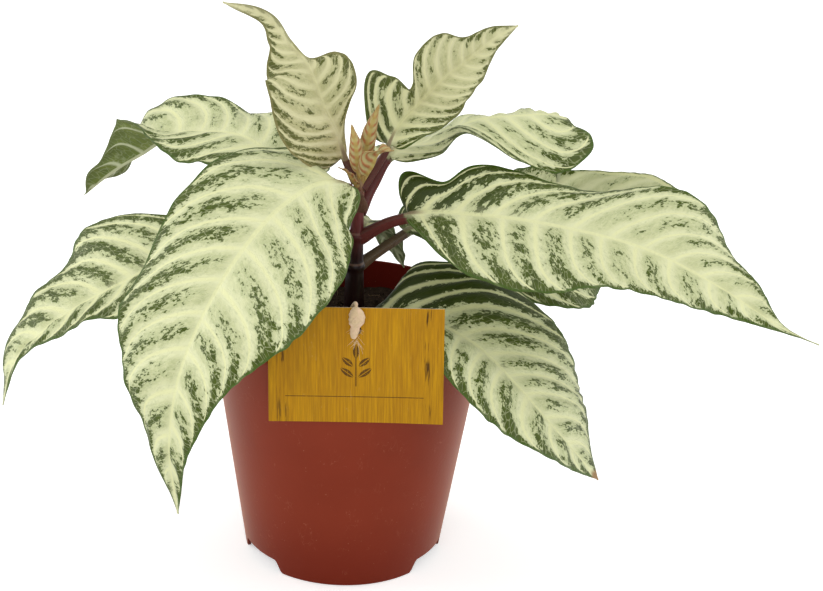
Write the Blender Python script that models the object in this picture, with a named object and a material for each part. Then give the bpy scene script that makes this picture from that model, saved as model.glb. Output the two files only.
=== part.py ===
"""A potted zebra plant: a tapered nursery pot, soil, one stem, leaves, and a card tied on with string.

Lengths are in millimetres and become metres where a mesh is made. The tables measure from the pot's axis at
the height of its feet, with +Z up and the front towards -Y. At the end everything is moved together, so that
the origin is the bottom centre of the whole plant's box.
"""
import bpy
import bmesh
import math
import numpy as np
from mathutils import Vector

for old in list(bpy.data.objects):
    bpy.data.objects.remove(old, do_unlink=True)

MM = 0.001
GAP = 0.3

# Pot
POT_HEIGHT = 110.0
RIM_RADIUS = 60.0
BASE_RADIUS = 43.2
WALL = 1.2
FLOOR_TOP = 8.2
FLOOR_UNDER = 7.0
POT_SIDES = 72
NOTCH_HEIGHT = 5.8
NOTCH_HALF_ANGLE = 17.5
NOTCH_SLANT = 5.0
FIRST_NOTCH = -25.0

# Soil
SOIL_TOP = 97.5
SOIL_SIDES = 36
SOIL_RINGS = 5
SOIL_LUMP = 1.1

# Stem: height, x, y and radius at stations from the hole's floor to the tip
STEM_FOOT = 60.0
STEM = [(60.0, 2.0, 0, 3.6), (97.0, 2.0, 0, 4.5), (112.0, 2.0, 0, 4.4), (126.0, 2.0, 0, 4.0),
        (134.0, 2.1, 0, 3.4), (147.0, 2.3, 0, 2.9), (161.0, 2.5, 0, 2.6), (170.0, 2.8, 0, 2.3), (176.0, 3.0, 0, 1.6)]
STEM_NODES = [112.0, 133.0, 147.0, 161.0]
NODE_SWELL = 0.5
NODE_SPREAD = 1.6
STEM_SIDES = 12

# Leaves
BLADE = 0.8
STALK = 2.0
STALK_TAPER = 0.75
RIB_LEAST = 0.8
LIFT_FROM = 8.0
LEAF_ROWS = 20
STALK_ROWS = 3
BASE, POINT, FORE = 0.5, 1.0, 0.55

# Each leaf: petiole is the length without blade, back is how far the base lobes sweep back, a wave is
# height, number along the blade and phase. A station is a place on the midrib, then for the left and for
# the right half, seen from the stem towards the tip: degrees of lift, degrees of curl, half width.
LEAVES = {
    "leaf_front_left": dict(
        petiole=22, back=-0.4, left_wave=(2, 4, 0.0), right_wave=(4, 4.5, 0.35), stations=[
            ((2, 0, 159), (-5, -15, 30), (-5, -15, 30)), ((0, -8, 170), (-10, -15, 32), (-5, -15, 30)),
            ((-5, -15, 177), (-10, -15, 34), (-5, -15, 32)), ((-14, -21, 178), (-10, -15, 39), (0, -15, 36)),
            ((-28, -32, 172), (-3, -15, 46), (14, -15, 43)),
            ((-43, -50, 159), (0, -15, 47), (13, -15, 40)), ((-53, -63, 145), (5, -15, 36), (10, -15, 39)),
            ((-65, -80, 118), (5, -15, 27), (10, -15, 33)), ((-69, -84, 89), (10, -15, 25), (10, -15, 27)),
            ((-66, -80, 55), (15, -15, 24), (15, -15, 24))]),
    "leaf_low_left": dict(
        petiole=22, back=-0.5, left_wave=(2, 4, 0.0), right_wave=(4, 5, 0.5), stations=[
            ((2, 0, 147), (10, -15, 28), (10, -15, 30)), ((-22, -1, 152), (10, -15, 30), (15, -15, 32)),
            ((-51, -7, 150), (10, -15, 32), (20, -15, 34)), ((-80, -14, 137), (8, -15, 32), (20, -15, 38)),
            ((-98, -20, 128), (8, -15, 27), (20, -15, 36)), ((-114, -25, 119), (10, -15, 22), (20, -15, 35)),
            ((-127, -30, 109), (10, -15, 15), (20, -15, 36)), ((-136, -33, 97), (5, -15, 14), (20, -15, 40)),
            ((-142, -35, 79), (0, -15, 14), (10, -15, 40))]),
    "leaf_upper_left": dict(
        petiole=20, back=-0.5, left_wave=(2, 4, 0.5), right_wave=(2, 4, 0.5), stations=[
            ((2, 0, 165), (0, -15, 28), (0, -15, 26)), ((-10, 8, 169), (0, -15, 30), (0, -15, 28)),
            ((-31, 20, 172), (0, -15, 30), (0, -15, 30)), ((-49, 34, 177), (0, -15, 30), (2, -15, 31)),
            ((-68, 46, 174), (0, -10, 30), (10, -15, 33)), ((-77, 52, 171), (5, 0, 29), (12, -15, 33)),
            ((-86, 57, 166), (40, 20, 24), (18, -10, 32)), ((-95, 60, 159), (100, 10, 22), (28, -10, 30)),
            ((-108, 61, 150), (110, 0, 18), (35, 0, 22)), ((-121, 60, 139), (110, 0, 18), (35, 0, 20))]),
    "leaf_top_left": dict(
        petiole=12, back=-0.5, stalk=1.6, left_wave=(1, 4, 0.0), right_wave=(1, 4, 0.0), up=(0.3, -1, 0.3), stations=[
            ((1.5, 0, 171), (30, -10, 22), (30, -10, 6)), ((-3, 3, 179), (30, -10, 22), (30, -10, 6)),
            ((-8, 2, 194), (30, -10, 26), (30, -10, 10)), ((-13, 2, 204), (30, -10, 24), (30, -10, 17)),
            ((-17, 4, 214), (30, -10, 20), (30, -10, 11)), ((-21, 8, 221), (30, -10, 15), (30, -10, 5)),
            ((-28, 12, 227), (30, -10, 12), (40, -10, 3)), ((-36, 16, 235), (30, -10, 10), (40, -10, 4)),
            ((-57, 20, 241), (30, -10, 8), (40, -10, 6))]),
    "leaf_top_right": dict(
        petiole=22, back=-0.9, stalk=1.6, left_wave=(1, 3, 0.0), right_wave=(1, 3, 0.0), up=(-0.3, -1, 0.3), stations=[
            ((4, -1, 169), (30, -10, 18), (30, -10, 18)), ((12, 6, 180), (30, -10, 24), (30, -10, 18)),
            ((18, 13, 192), (30, -10, 32), (30, -10, 18)), ((28, 20, 202), (80, -10, 10), (30, -10, 19)),
            ((38, 24, 212), (30, -10, 17), (30, -10, 17)), ((48, 28, 219), (30, -10, 12), (30, -10, 14)),
            ((57, 32, 226), (30, -10, 9), (30, -10, 12)), ((67, 36, 231), (30, -10, 9), (30, -10, 11))]),
    "leaf_upper_right": dict(
        petiole=26, back=-0.4, left_wave=(2, 4, 0.0), right_wave=(2, 4, 0.0), stations=[
            ((2, 0, 160), (0, -10, 24), (0, -10, 22)), ((8, 9, 169), (0, -10, 24), (0, -10, 22)),
            ((15, 18, 179), (-10, -10, 26), (0, -10, 26)), ((26, 27, 179), (-20, -10, 28), (15, -10, 28)),
            ((39, 34, 183), (-20, -10, 28), (28, -10, 26)), ((51, 39, 187), (-16, -10, 24), (-8, -10, 32)),
            ((71, 46, 189), (-16, -10, 18), (-20, -10, 38)), ((83, 51, 189), (-15, -10, 13), (-20, -10, 36)),
            ((89, 57, 183), (-10, -10, 12), (-10, -5, 27)), ((91, 60, 173), (-10, -10, 14), (0, 0, 22)),
            ((91, 62, 161), (-10, 0, 18), (0, 0, 20)), ((90, 63, 150), (-10, 0, 18), (0, 0, 20))]),
    "leaf_right": dict(
        petiole=26, back=-0.8, left_wave=(5, 2.9, -0.11), right_wave=(4, 1.85, 0.34), stations=[
            ((2, 0, 147), (60, -15, 28), (10, -15, 14)), ((17, -2, 156), (55, -15, 31), (0, -15, 16)),
            ((30, -4, 160), (35, -15, 29), (-10, -15, 22)), ((53, -8, 162), (25, -15, 33), (-10, -15, 40)),
            ((91, -14, 160), (25, -15, 33), (-10, -15, 33)), ((127, -22, 154), (30, -15, 38), (-10, -15, 30)),
            ((156, -30, 142), (25, -15, 27), (0, -15, 24)), ((183, -38, 128), (20, -15, 15), (5, -15, 13)),
            ((197, -40, 123), (15, -15, 9), (10, -15, 9))]),
    "leaf_right_back": dict(
        petiole=31, back=-0.4, left_wave=(2, 4, 0.0), right_wave=(2, 4, 0.0), stations=[
            ((2, 0, 133), (10, -15, 12), (-10, -15, 14)), ((18, 16, 139), (20, -15, 14), (-10, -15, 15)),
            ((24, 22, 141), (20, -15, 20), (-15, -15, 16)), ((42, 36, 138), (18, -15, 32), (-25, -15, 26)),
            ((69, 52, 132), (20, -15, 35), (-28, -15, 37)), ((92, 64, 127), (40, 30, 38), (-28, -15, 33)),
            ((111, 74, 124), (75, 90, 40), (-30, -15, 30)), ((131, 84, 118), (75, 100, 38), (-20, -15, 30)),
            ((151, 92, 106), (70, 90, 34), (0, -15, 30)), ((160, 94, 90), (70, 90, 30), (0, -15, 30))]),
    "leaf_low_right": dict(
        petiole=10, back=-0.4, left_wave=(2, 3, 0.0), right_wave=(1, 3, 0.0), stations=[
            ((2, 0, 112), (15, -20, 34), (0, -20, 22)), ((11, -8, 115), (25, -20, 40), (0, -20, 24)),
            ((22, -14, 118), (30, -20, 46), (5, -20, 24)), ((35, -23, 119), (25, -20, 45), (10, -20, 26)),
            ((54, -34, 114), (20, -20, 44), (10, -20, 29)), ((73, -47, 101), (15, -20, 42), (10, -20, 29)),
            ((87, -54, 88), (10, -20, 41), (10, -20, 29)), ((107, -58, 66), (10, -20, 40), (10, -20, 27))]),
    "leaf_back": dict(
        petiole=10, back=-0.3, left_wave=(1, 4, 0.0), right_wave=(1, 4, 0.0), stations=[
            ((2, 0, 140), (10, -15, 9), (10, -15, 8)), ((5, 10, 148), (10, -15, 10), (10, -15, 8)),
            ((8, 18, 147), (10, -15, 11), (10, -15, 8)), ((12, 25, 140), (10, -15, 11), (10, -15, 9)),
            ((18, 30, 130), (10, -15, 11), (10, -15, 10)), ((23, 32, 119), (10, -15, 11), (10, -15, 10))]),
    "tip_leaf_tall": dict(
        petiole=4, back=0.0, stalk=0.8, left_wave=(0.4, 5, 0.0), right_wave=(0.4, 5, 0.5), up=(0, -1, 0.3), stations=[
            ((3, -1, 173), (30, 0, 2.4), (30, 0, 2.4)), ((2, -5, 181), (30, 0, 3.2), (30, 0, 3.2)),
            ((1, -6, 190), (30, 0, 3.2), (30, 0, 3.2)), ((-1, -5, 199), (30, 0, 3), (30, 0, 3))]),
    "tip_leaf_back": dict(
        petiole=4, back=0.0, stalk=0.8, left_wave=(0.4, 5, 0.0), right_wave=(0.4, 5, 0.5), up=(0, -1, 0.3), stations=[
            ((3, 1, 174), (30, 0, 2.4), (30, 0, 2.4)), ((4, 2, 182), (30, 0, 3.2), (30, 0, 3.2)),
            ((5, 3, 191), (30, 0, 3.2), (30, 0, 3.2)), ((7, 2, 202), (30, 0, 3), (30, 0, 3))]),
    "tip_leaf_curled": dict(
        petiole=5, back=0.0, stalk=0.8, left_wave=(0.6, 3, 0.0), right_wave=(0.6, 3, 0.0), stations=[
            ((3, 0, 172), (30, 20, 5), (20, 20, 5)), ((8, -5, 174), (30, 20, 6), (20, 20, 6)),
            ((12, -9, 180), (30, 20, 6.5), (20, 20, 6.5)), ((12, -10, 188), (30, 20, 6), (20, 20, 6))]),
    "tip_leaf_low": dict(
        petiole=4, back=0.0, stalk=0.7, left_wave=(0.5, 3, 0.0), right_wave=(0.5, 3, 0.5), stations=[
            ((3, 0, 169), (20, 0, 3), (20, 0, 3)), ((1, -4, 174), (20, 0, 3.4), (20, 0, 3.4)),
            ((-2, -5, 178), (20, 0, 3.4), (20, 0, 3.4)), ((-6, -5, 180), (20, 0, 3), (20, 0, 3))]),
}
SMALL_ROWS = 6

# Card and string
CARD_WIDTH = 72.0
CARD_HEIGHT = 52.0
CARD_THICK = 0.6
CARD_CENTRE_X = 4.5
CARD_TOP = 141.0
CARD_TURN = 1.4
CARD_HOLE_DROP = 10.0
CARD_HOLE_RADIUS = 2.2
STRING_RADIUS = 0.7
STRING_LOOP_HEIGHT = 104.0
KNOT_SIZE = (2.4, 2.0, 6.0)


def unit(v):
    return v/np.linalg.norm(v, axis=-1, keepdims=True)


def through(places, knots, at):
    """A smooth line through the places: cubics whose slopes at the knots are those of the parabola through
    the neighbours. Beyond the ends it goes on straight."""
    places, knots, at = np.asarray(places, float), np.asarray(knots, float), np.asarray(at, float)
    gaps = np.diff(knots)[:, None]
    rise = np.diff(places, axis=0)/gaps
    inner = (rise[:-1]*gaps[1:] + rise[1:]*gaps[:-1])/(gaps[:-1] + gaps[1:])
    slopes = np.concatenate([rise[:1], inner, rise[-1:]])
    span = np.clip(np.searchsorted(knots, at, side="right") - 1, 0, len(gaps) - 1)
    h = gaps[span]
    t = (at - knots[span])[..., None]/h
    before, beyond = np.minimum(t, 0), np.maximum(t - 1, 0)
    t = np.clip(t, 0, 1)
    a, b, p, q = places[span], places[span + 1], slopes[span], slopes[span + 1]
    curve = a*(1 + 2*t)*(1 - t)**2 + h*p*t*(1 - t)**2 + b*t*t*(3 - 2*t) + h*q*t*t*(t - 1)
    return curve + before*h*p + beyond*h*q


def fullness(t):
    """Half width along the blade, 1 at its widest: t to the power BASE times (1 - t) to the power POINT,
    over the largest value that this takes."""
    top = BASE/(BASE + POINT)
    t = np.clip(t, 0, 1)
    return (t**BASE)*((1 - t)**POINT)/(top**BASE*(1 - top)**POINT)


def leaf_line(leaf):
    """The stations as rows, their distance along the midrib, and the way that the upper face looks."""
    rows = np.array([sum(station, ()) for station in leaf["stations"]], float)
    places = rows[:, :3]
    rough = np.concatenate([[0], np.cumsum(np.linalg.norm(np.diff(places, axis=0), axis=1))])
    fine = np.linspace(0, rough[-1], 400)
    steps = np.linalg.norm(np.diff(through(places, rough, fine), axis=0), axis=1)
    knots = np.interp(rough, fine, np.concatenate([[0], np.cumsum(steps)]))
    chord = unit(places[-1] - places[0])
    upward = np.array(leaf.get("up", (0, 0, 1.0)), float)
    return rows, knots, unit(upward - (upward@chord)*chord)


def stalk_width(leaf, root, total):
    """Half width of the stalk, and of the rib that it becomes: it tapers towards the leaf's tip."""
    return np.maximum(leaf.get("stalk", STALK)*(1 - STALK_TAPER*root/total), RIB_LEAST)


def leaf_sheet(leaf, root, v):
    """Places on a leaf's upper and lower face.

    The flat leaf comes first: a point on the side vein that leaves the midrib at root lies v times the half
    width out, and a sweep of that width further on. The midrib then carries it: each half is turned up by
    its lift and by half its curl so far, and its margin waves along the face's own normal. The stalk isn't
    turned. The lower face lies below by the blade's thickness, or by the round of the stalk and rib."""
    rows, knots, upward = leaf_line(leaf)
    total = knots[-1]
    t = np.clip((root - leaf["petiole"])/(total - leaf["petiole"]), 0, 1)
    side, left = np.abs(v), v < 0
    stalk = stalk_width(leaf, root, total)
    wide = through(rows[:, [5, 8]], knots, root)
    wide = np.maximum(np.where(left, wide[..., 0], wide[..., 1])*fullness(t), stalk)
    across = side*wide
    opened = np.clip((wide - stalk)/LIFT_FROM, 0, 1)
    sweep = leaf["back"] + (FORE - leaf["back"])*np.clip(t/0.3, 0, 1)**0.7
    along = np.minimum(root + sweep*(across - side*stalk)*side**0.3, total)
    middle = through(rows[:, :3], knots, along)
    tangent = unit(through(rows[:, :3], knots, along + 0.5) - through(rows[:, :3], knots, along - 0.5))
    right = unit(np.cross(tangent, upward))
    normal = np.cross(right, tangent)
    bend = through(rows[:, [3, 4, 6, 7]], knots, along)
    lift_left, lift_right = np.radians(bend[..., 0]*opened)[..., None], np.radians(bend[..., 2]*opened)[..., None]
    half_turn = np.where(left, bend[..., 1], bend[..., 3])*opened*side/2
    angle = np.where(left[..., None], lift_left, lift_right) + np.radians(half_turn)[..., None]
    outward = np.where(left[..., None], -right, right)
    reach = outward*np.cos(angle) + normal*np.sin(angle)
    lean_side = normal*np.cos(angle) - outward*np.sin(angle)
    lean_rib = unit(normal*(np.cos(lift_left) + np.cos(lift_right)) + right*(np.sin(lift_left) - np.sin(lift_right)))
    off_rib = np.clip(across/stalk, 0, 1)[..., None]
    lean = unit(lean_side*off_rib + lean_rib*(1 - off_rib))
    (high_l, count_l, phase_l), (high_r, count_r, phase_r) = leaf["left_wave"], leaf["right_wave"]
    ripple = np.where(left, high_l*np.sin(2*np.pi*(count_l*t + phase_l)),
                      high_r*np.sin(2*np.pi*(count_r*t + phase_r)))
    wave = side**2*ripple*np.clip(6*t, 0, 1)*np.clip(2.5*(1 - t), 0, 1)
    chord = across*np.sinc(half_turn/180)
    upper = middle + reach*chord[..., None] + lean*wave[..., None]
    round_part = np.sqrt(np.clip(1 - (across/stalk)**2, 0, 1))
    depth = np.maximum(BLADE, 2*stalk*round_part*np.clip(1.6 - 1.6*t, 0, 1))
    rise = 0.6*stalk*round_part*np.clip(1 - 8*t, 0, 1)
    return upper + lean*rise[..., None], upper - lean*depth[..., None]


def leaf_grid(leaf, rows):
    """Where the rows and columns of the leaf's mesh lie. The columns beside the midrib stay on the rib's
    edge, and the rest divide what is left of the half width evenly."""
    stations, knots, upward = leaf_line(leaf)
    total, petiole = knots[-1], leaf["petiole"]
    blade = petiole + (total - petiole)*np.linspace(0, 1, rows)**1.35*0.992
    root = np.concatenate([np.linspace(0, petiole, STALK_ROWS + 1)[:-1], blade])
    t = np.clip((root - petiole)/(total - petiole), 0, 1)
    stalk = stalk_width(leaf, root, total)
    wide = through(stations[:, [5, 8]], knots, root)*fullness(t)[:, None]
    columns = []
    for half, sign in ((0, -1), (1, 1)):
        rib = np.minimum(stalk/np.maximum(wide[:, half], stalk), 0.25)
        steps = [rib + (1 - rib)*k/3 for k in range(4)]
        columns.append([sign*step for step in steps])
    v = np.stack(columns[0][::-1] + [0*root] + columns[1], axis=1)
    return root[:, None]*np.ones_like(v), v


def closed_sheet(upper, lower):
    """Vertices and triangles of the closed solid between two like grids, split alike on both faces."""
    rows, cols = upper.shape[:2]
    places = np.concatenate([upper.reshape(-1, 3), lower.reshape(-1, 3)])
    lift = rows*cols
    faces = []
    for i in range(rows - 1):
        for j in range(cols - 1):
            a, b = i*cols + j, i*cols + j + 1
            c, d = a + cols, b + cols
            faces += [(a, b, d), (a, d, c)]
            faces += [(lift + a, lift + d, lift + b), (lift + a, lift + c, lift + d)]
    rim = [j for j in range(cols)]
    rim += [i*cols + cols - 1 for i in range(1, rows)]
    rim += [(rows - 1)*cols + j for j in range(cols - 2, -1, -1)]
    rim += [i*cols for i in range(rows - 2, 0, -1)]
    for p, q in zip(rim, rim[1:] + rim[:1]):
        faces += [(p, lift + p, lift + q), (p, lift + q, q)]
    return places, faces


def material(name, colour, roughness):
    made = bpy.data.materials.new(name)
    made.use_nodes = True
    shader = made.node_tree.nodes["Principled BSDF"]
    shader.inputs["Base Color"].default_value = (*colour, 1)
    shader.inputs["Roughness"].default_value = roughness
    shader.inputs["Metallic"].default_value = 0.0
    return made


def solid(name, places, faces, finish, smooth=40):
    """A named object from places in millimetres, with its faces turned outwards and shaded smooth."""
    mesh = bpy.data.meshes.new(name)
    mesh.from_pydata([tuple(p) for p in np.asarray(places)*MM], [], faces)
    work = bmesh.new()
    work.from_mesh(mesh)
    bmesh.ops.remove_doubles(work, verts=work.verts, dist=1e-6)
    bmesh.ops.recalc_face_normals(work, faces=work.faces)
    work.to_mesh(mesh)
    work.free()
    mesh.shade_smooth()
    mesh.set_sharp_from_angle(angle=math.radians(smooth))
    made = bpy.data.objects.new(name, mesh)
    bpy.context.scene.collection.objects.link(made)
    if finish:
        mesh.materials.append(finish)
    return made


def as_cutter(thing):
    thing.hide_render = True
    thing.display_type = "WIRE"
    return thing


def boolean(thing, other, operation):
    cut = thing.modifiers.new(operation.title(), "BOOLEAN")
    cut.operation = operation
    cut.solver = "EXACT"
    cut.object = other


def turned(profile, sides, foot=None):
    """Vertices and faces of a closed profile turned round Z. A point at radius 0 is a single vertex. foot
    gives the height of the points marked as on the ground, by angle."""
    places, rings, faces = [], [], []
    for radius, height, on_ground in profile:
        if radius == 0:
            rings.append([len(places)])
            places.append((0, 0, height))
            continue
        ring = []
        for k in range(sides):
            angle = 2*math.pi*k/sides
            z = foot(angle) if on_ground and foot else height
            ring.append(len(places))
            places.append((radius*math.cos(angle), radius*math.sin(angle), z))
        rings.append(ring)
    for first, second in zip(rings[:-1], rings[1:]):
        for k in range(sides):
            n = (k + 1) % sides
            if len(first) == 1:
                faces.append((first[0], second[n], second[k]))
            elif len(second) == 1:
                faces.append((first[k], first[n], second[0]))
            else:
                faces.append((first[k], first[n], second[n], second[k]))
    return places, faces


def pot_radius(z):
    return BASE_RADIUS + (RIM_RADIUS - BASE_RADIUS)*z/POT_HEIGHT


def foot_height(angle):
    """0 on the feet, the notch's height in the three notches, with slanted ends."""
    away = abs((math.degrees(angle) - FIRST_NOTCH + 60) % 120 - 60)
    return NOTCH_HEIGHT*min(max((NOTCH_HALF_ANGLE + NOTCH_SLANT/2 - away)/NOTCH_SLANT, 0), 1)


def make_pot():
    inner = pot_radius(FLOOR_TOP) - WALL
    skirt = BASE_RADIUS - WALL - 0.4
    profile = [(0, FLOOR_UNDER, False), (skirt, FLOOR_UNDER, False), (skirt, 0, True), (BASE_RADIUS, 0, True),
               (pot_radius(NOTCH_HEIGHT + 1), NOTCH_HEIGHT + 1, False),
               (RIM_RADIUS, POT_HEIGHT - 0.5, False), (RIM_RADIUS - 0.4, POT_HEIGHT, False),
               (RIM_RADIUS - WALL + 0.2, POT_HEIGHT, False), (RIM_RADIUS - WALL, POT_HEIGHT - 0.5, False),
               (inner, FLOOR_TOP, False), (0, FLOOR_TOP, False)]
    return solid("pot", *turned(profile, POT_SIDES, foot_height), material("pot plastic", (0.26, 0.035, 0.015), 0.45), 30)


def stem_radius(z):
    rows = np.array(STEM, float)
    swell = sum(NODE_SWELL*math.exp(-((z - node)/NODE_SPREAD)**2) for node in STEM_NODES)
    return float(np.interp(z, rows[:, 0], rows[:, 3])) + swell


def make_stem(name, extra, finish):
    """Rings round the stem's leaning line, closed by a flat foot and a low dome. extra widens it."""
    rows = np.array(STEM, float)
    heights = sorted({*rows[:, 0], 105.0, 119.0, 140.0, 154.0, 166.0,
                      *[n + d for n in STEM_NODES for d in (-2.0, 0.0, 2.0)]})
    if extra:
        heights = [z for z in heights if z > 100]
    places, faces = [], []
    for z in heights:
        x, y = np.interp(z, rows[:, 0], rows[:, 1]), np.interp(z, rows[:, 0], rows[:, 2])
        for k in range(STEM_SIDES):
            angle = 2*math.pi*k/STEM_SIDES
            r = stem_radius(z) + extra
            places.append((x + r*math.cos(angle), y + r*math.sin(angle), z))
    rings = len(heights)
    for i in range(rings - 1):
        for k in range(STEM_SIDES):
            a, b = i*STEM_SIDES + k, i*STEM_SIDES + (k + 1) % STEM_SIDES
            faces.append((a, b, b + STEM_SIDES, a + STEM_SIDES))
    faces.append(tuple(range(STEM_SIDES))[::-1])
    top = len(places)
    places.append((rows[-1][1], rows[-1][2], heights[-1] + 1.0 + extra))
    last = (rings - 1)*STEM_SIDES
    for k in range(STEM_SIDES):
        faces.append((last + k, last + (k + 1) % STEM_SIDES, top))
    return solid(name, places, faces, finish, 60)


def make_soil():
    """A filled cone whose top is lumpy, with a plain round hole for the stem."""
    rng = np.random.default_rng(4)
    hole = 4.5 + 2*GAP
    wall = pot_radius(SOIL_TOP) - WALL - 2*GAP
    low = pot_radius(FLOOR_TOP) - WALL - 2*GAP
    places = [(0, 0, FLOOR_TOP + GAP)]
    rings = [(low, FLOOR_TOP + GAP, 0, 0.0), (wall, SOIL_TOP, 0, 0.0)]
    rings += [(wall + (hole - wall)*k/(SOIL_RINGS + 1), SOIL_TOP + 1.0*k/(SOIL_RINGS + 1), 1, STEM[1][1]*k/(SOIL_RINGS + 1))
              for k in range(1, SOIL_RINGS + 1)]
    rings += [(hole, SOIL_TOP + 1.0, 0, STEM[1][1]), (hole, STEM_FOOT - GAP, 0, STEM[0][1])]
    index, faces = [], []
    for radius, height, lumpy, shift in rings:
        index.append(len(places))
        for k in range(SOIL_SIDES):
            angle = 2*math.pi*k/SOIL_SIDES
            lump = SOIL_LUMP*rng.uniform(-1, 1)*lumpy
            places.append((shift + radius*math.cos(angle), radius*math.sin(angle), height + lump))
    for first, second in zip(index[:-1], index[1:]):
        for k in range(SOIL_SIDES):
            n = (k + 1) % SOIL_SIDES
            faces += [(first + k, first + n, second + n), (first + k, second + n, second + k)]
    floor = len(places)
    places.append((STEM[0][1], 0, STEM_FOOT - GAP))
    for k in range(SOIL_SIDES):
        n = (k + 1) % SOIL_SIDES
        faces.append((0, index[0] + n, index[0] + k))
        faces.append((index[-1] + k, index[-1] + n, floor))
    return solid("soil", places, faces, material("dark peat", (0.03, 0.02, 0.015), 0.95), 30)


def make_leaf(name, leaf, finish, seat):
    rows = SMALL_ROWS if name.startswith("tip") else LEAF_ROWS
    places, faces = closed_sheet(*leaf_sheet(leaf, *leaf_grid(leaf, rows)))
    made = solid(name, places, faces, finish, 60)
    boolean(made, seat, "DIFFERENCE")
    return made


def card_place(across, up, out):
    """A place on the card: across and up from its top centre, out of its front face."""
    turn = math.radians(CARD_TURN)
    x = CARD_CENTRE_X + across*math.cos(turn) - up*math.sin(turn)
    z = CARD_TOP + across*math.sin(turn) + up*math.cos(turn)
    return (x, -RIM_RADIUS - GAP - CARD_THICK - out, z)


def make_card():
    half, low = CARD_WIDTH/2, -CARD_HEIGHT
    corners = [(-half, low), (half, low), (half, 0), (-half, 0)]
    places = [card_place(a, u, out) for out in (0, -CARD_THICK) for a, u in corners]
    faces = [(0, 1, 2, 3), (7, 6, 5, 4)]
    faces += [(k, k + 4, (k + 1) % 4 + 4, (k + 1) % 4) for k in range(4)]
    made = solid("card", places, faces, material("card board", (0.55, 0.28, 0.03), 0.6), 30)
    bpy.ops.mesh.primitive_cylinder_add(
        vertices=16, radius=CARD_HOLE_RADIUS*MM, depth=4*MM, rotation=(math.pi/2, 0, 0),
        location=[c*MM for c in card_place(0, -CARD_HOLE_DROP, -CARD_THICK/2)])
    hole = as_cutter(bpy.context.active_object)
    hole.name = "card_hole_cutter"
    boolean(made, hole, "DIFFERENCE")
    return made


def string_route():
    """From the knot through the card's hole, back round the stem and forward over the card's top edge."""
    stem_x, clear = 2.0, stem_radius(STRING_LOOP_HEIGHT) + GAP + STRING_RADIUS + 0.3
    hole = np.array(card_place(0, -CARD_HOLE_DROP, 0))
    top = np.array(card_place(0, 0, 0))
    front = STRING_RADIUS + GAP
    route = [hole + (0, -front - 1.2, 0.4), hole + (0, CARD_THICK/2, 0), hole + (-0.8, 5, -1.5)]
    route += [(stem_x - 5.5, -32, STRING_LOOP_HEIGHT + 12)]
    route += [(stem_x - clear*math.sin(a), -clear*math.cos(a), STRING_LOOP_HEIGHT)
              for a in np.radians([60, 90, 135, 180, 225, 270, 310])]
    route += [(stem_x - 1.5, -30, STRING_LOOP_HEIGHT + 17), top + (-0.5, 6, -0.6), top + (-0.2, 2.2, 0.9),
              top + (0, CARD_THICK/2, front + 0.4), top + (0, -front - 0.6, 0.3), top + (0, -front - 0.9, -2.0),
              hole + (0, -front - 1.2, 3.0)]
    return np.array([tuple(p) for p in route], float)


def make_string():
    """A tube along the route, and the knot: a ball stretched along the card."""
    route = string_route()
    knots = np.concatenate([[0], np.cumsum(np.linalg.norm(np.diff(route, axis=0), axis=1))])
    line = through(route, knots, np.linspace(0, knots[-1], 60))
    curve = bpy.data.curves.new("string_route", "CURVE")
    curve.dimensions = "3D"
    curve.bevel_depth = STRING_RADIUS*MM
    curve.bevel_resolution = 1
    curve.use_fill_caps = True
    run = curve.splines.new("POLY")
    run.points.add(len(line) - 1)
    for point, place in zip(run.points, line):
        point.co = (*(place*MM), 1)
    made = bpy.data.objects.new("string", curve)
    bpy.context.scene.collection.objects.link(made)
    bpy.context.view_layer.update()
    mesh = bpy.data.meshes.new_from_object(made.evaluated_get(bpy.context.evaluated_depsgraph_get()))
    bpy.data.objects.remove(made)
    tube = bpy.data.objects.new("string", mesh)
    bpy.context.scene.collection.objects.link(tube)
    tube.data.materials.clear()
    tube.data.materials.append(material("cream string", (0.75, 0.62, 0.45), 0.9))
    bpy.ops.mesh.primitive_uv_sphere_add(segments=12, ring_count=8, radius=MM)
    knot = as_cutter(bpy.context.active_object)
    knot.name = "knot_shape"
    middle = np.array(card_place(0, -CARD_HOLE_DROP + 3.5, KNOT_SIZE[1] + GAP))
    for vertex in knot.data.vertices:
        vertex.co = [vertex.co[k]*KNOT_SIZE[k] + middle[k]*MM for k in range(3)]
    boolean(tube, knot, "UNION")
    return tube


def settle():
    """Move everything so that the bottom centre of the box round all that shows is the origin."""
    bpy.context.view_layer.update()
    graph = bpy.context.evaluated_depsgraph_get()
    shown = [thing for thing in bpy.data.objects if not thing.hide_render]
    corners = np.array([Vector(corner) for thing in shown for corner in thing.evaluated_get(graph).bound_box])
    low, high = corners.min(axis=0), corners.max(axis=0)
    shift = Vector((-(low[0] + high[0])/2, -(low[1] + high[1])/2, -low[2]))
    for thing in bpy.data.objects:
        thing.location += shift
    return shift


make_pot()
make_soil()
make_stem("stem", 0.0, material("stem bark", (0.06, 0.012, 0.015), 0.5))
seat = as_cutter(make_stem("leaf_seat_cutter", 1.5*GAP, None))
blade_green = material("leaf green", (0.45, 0.52, 0.3), 0.45)
young = material("young leaf", (0.5, 0.4, 0.25), 0.45)
for leaf_name, leaf_shape in LEAVES.items():
    finish = young if leaf_name.startswith("tip") or leaf_name == "leaf_top_left" else blade_green
    make_leaf(leaf_name, leaf_shape, finish, seat)
make_card()
make_string()
settle()
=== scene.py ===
# %% [markdown]
# # A potted zebra plant, dressed for its picture
# The plant stands in a thin red-brown nursery pot. Its big leaves are pale, quilted between their side
# veins and speckled dark green, and a small card hangs in front on a piece of string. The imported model
# gives the size and place of every piece. This script lays finer surfaces over it and paints them with
# procedural materials, so nothing is read from a picture.

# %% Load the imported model
import math

import bpy
import numpy as np
from mathutils import Matrix, Vector


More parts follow.
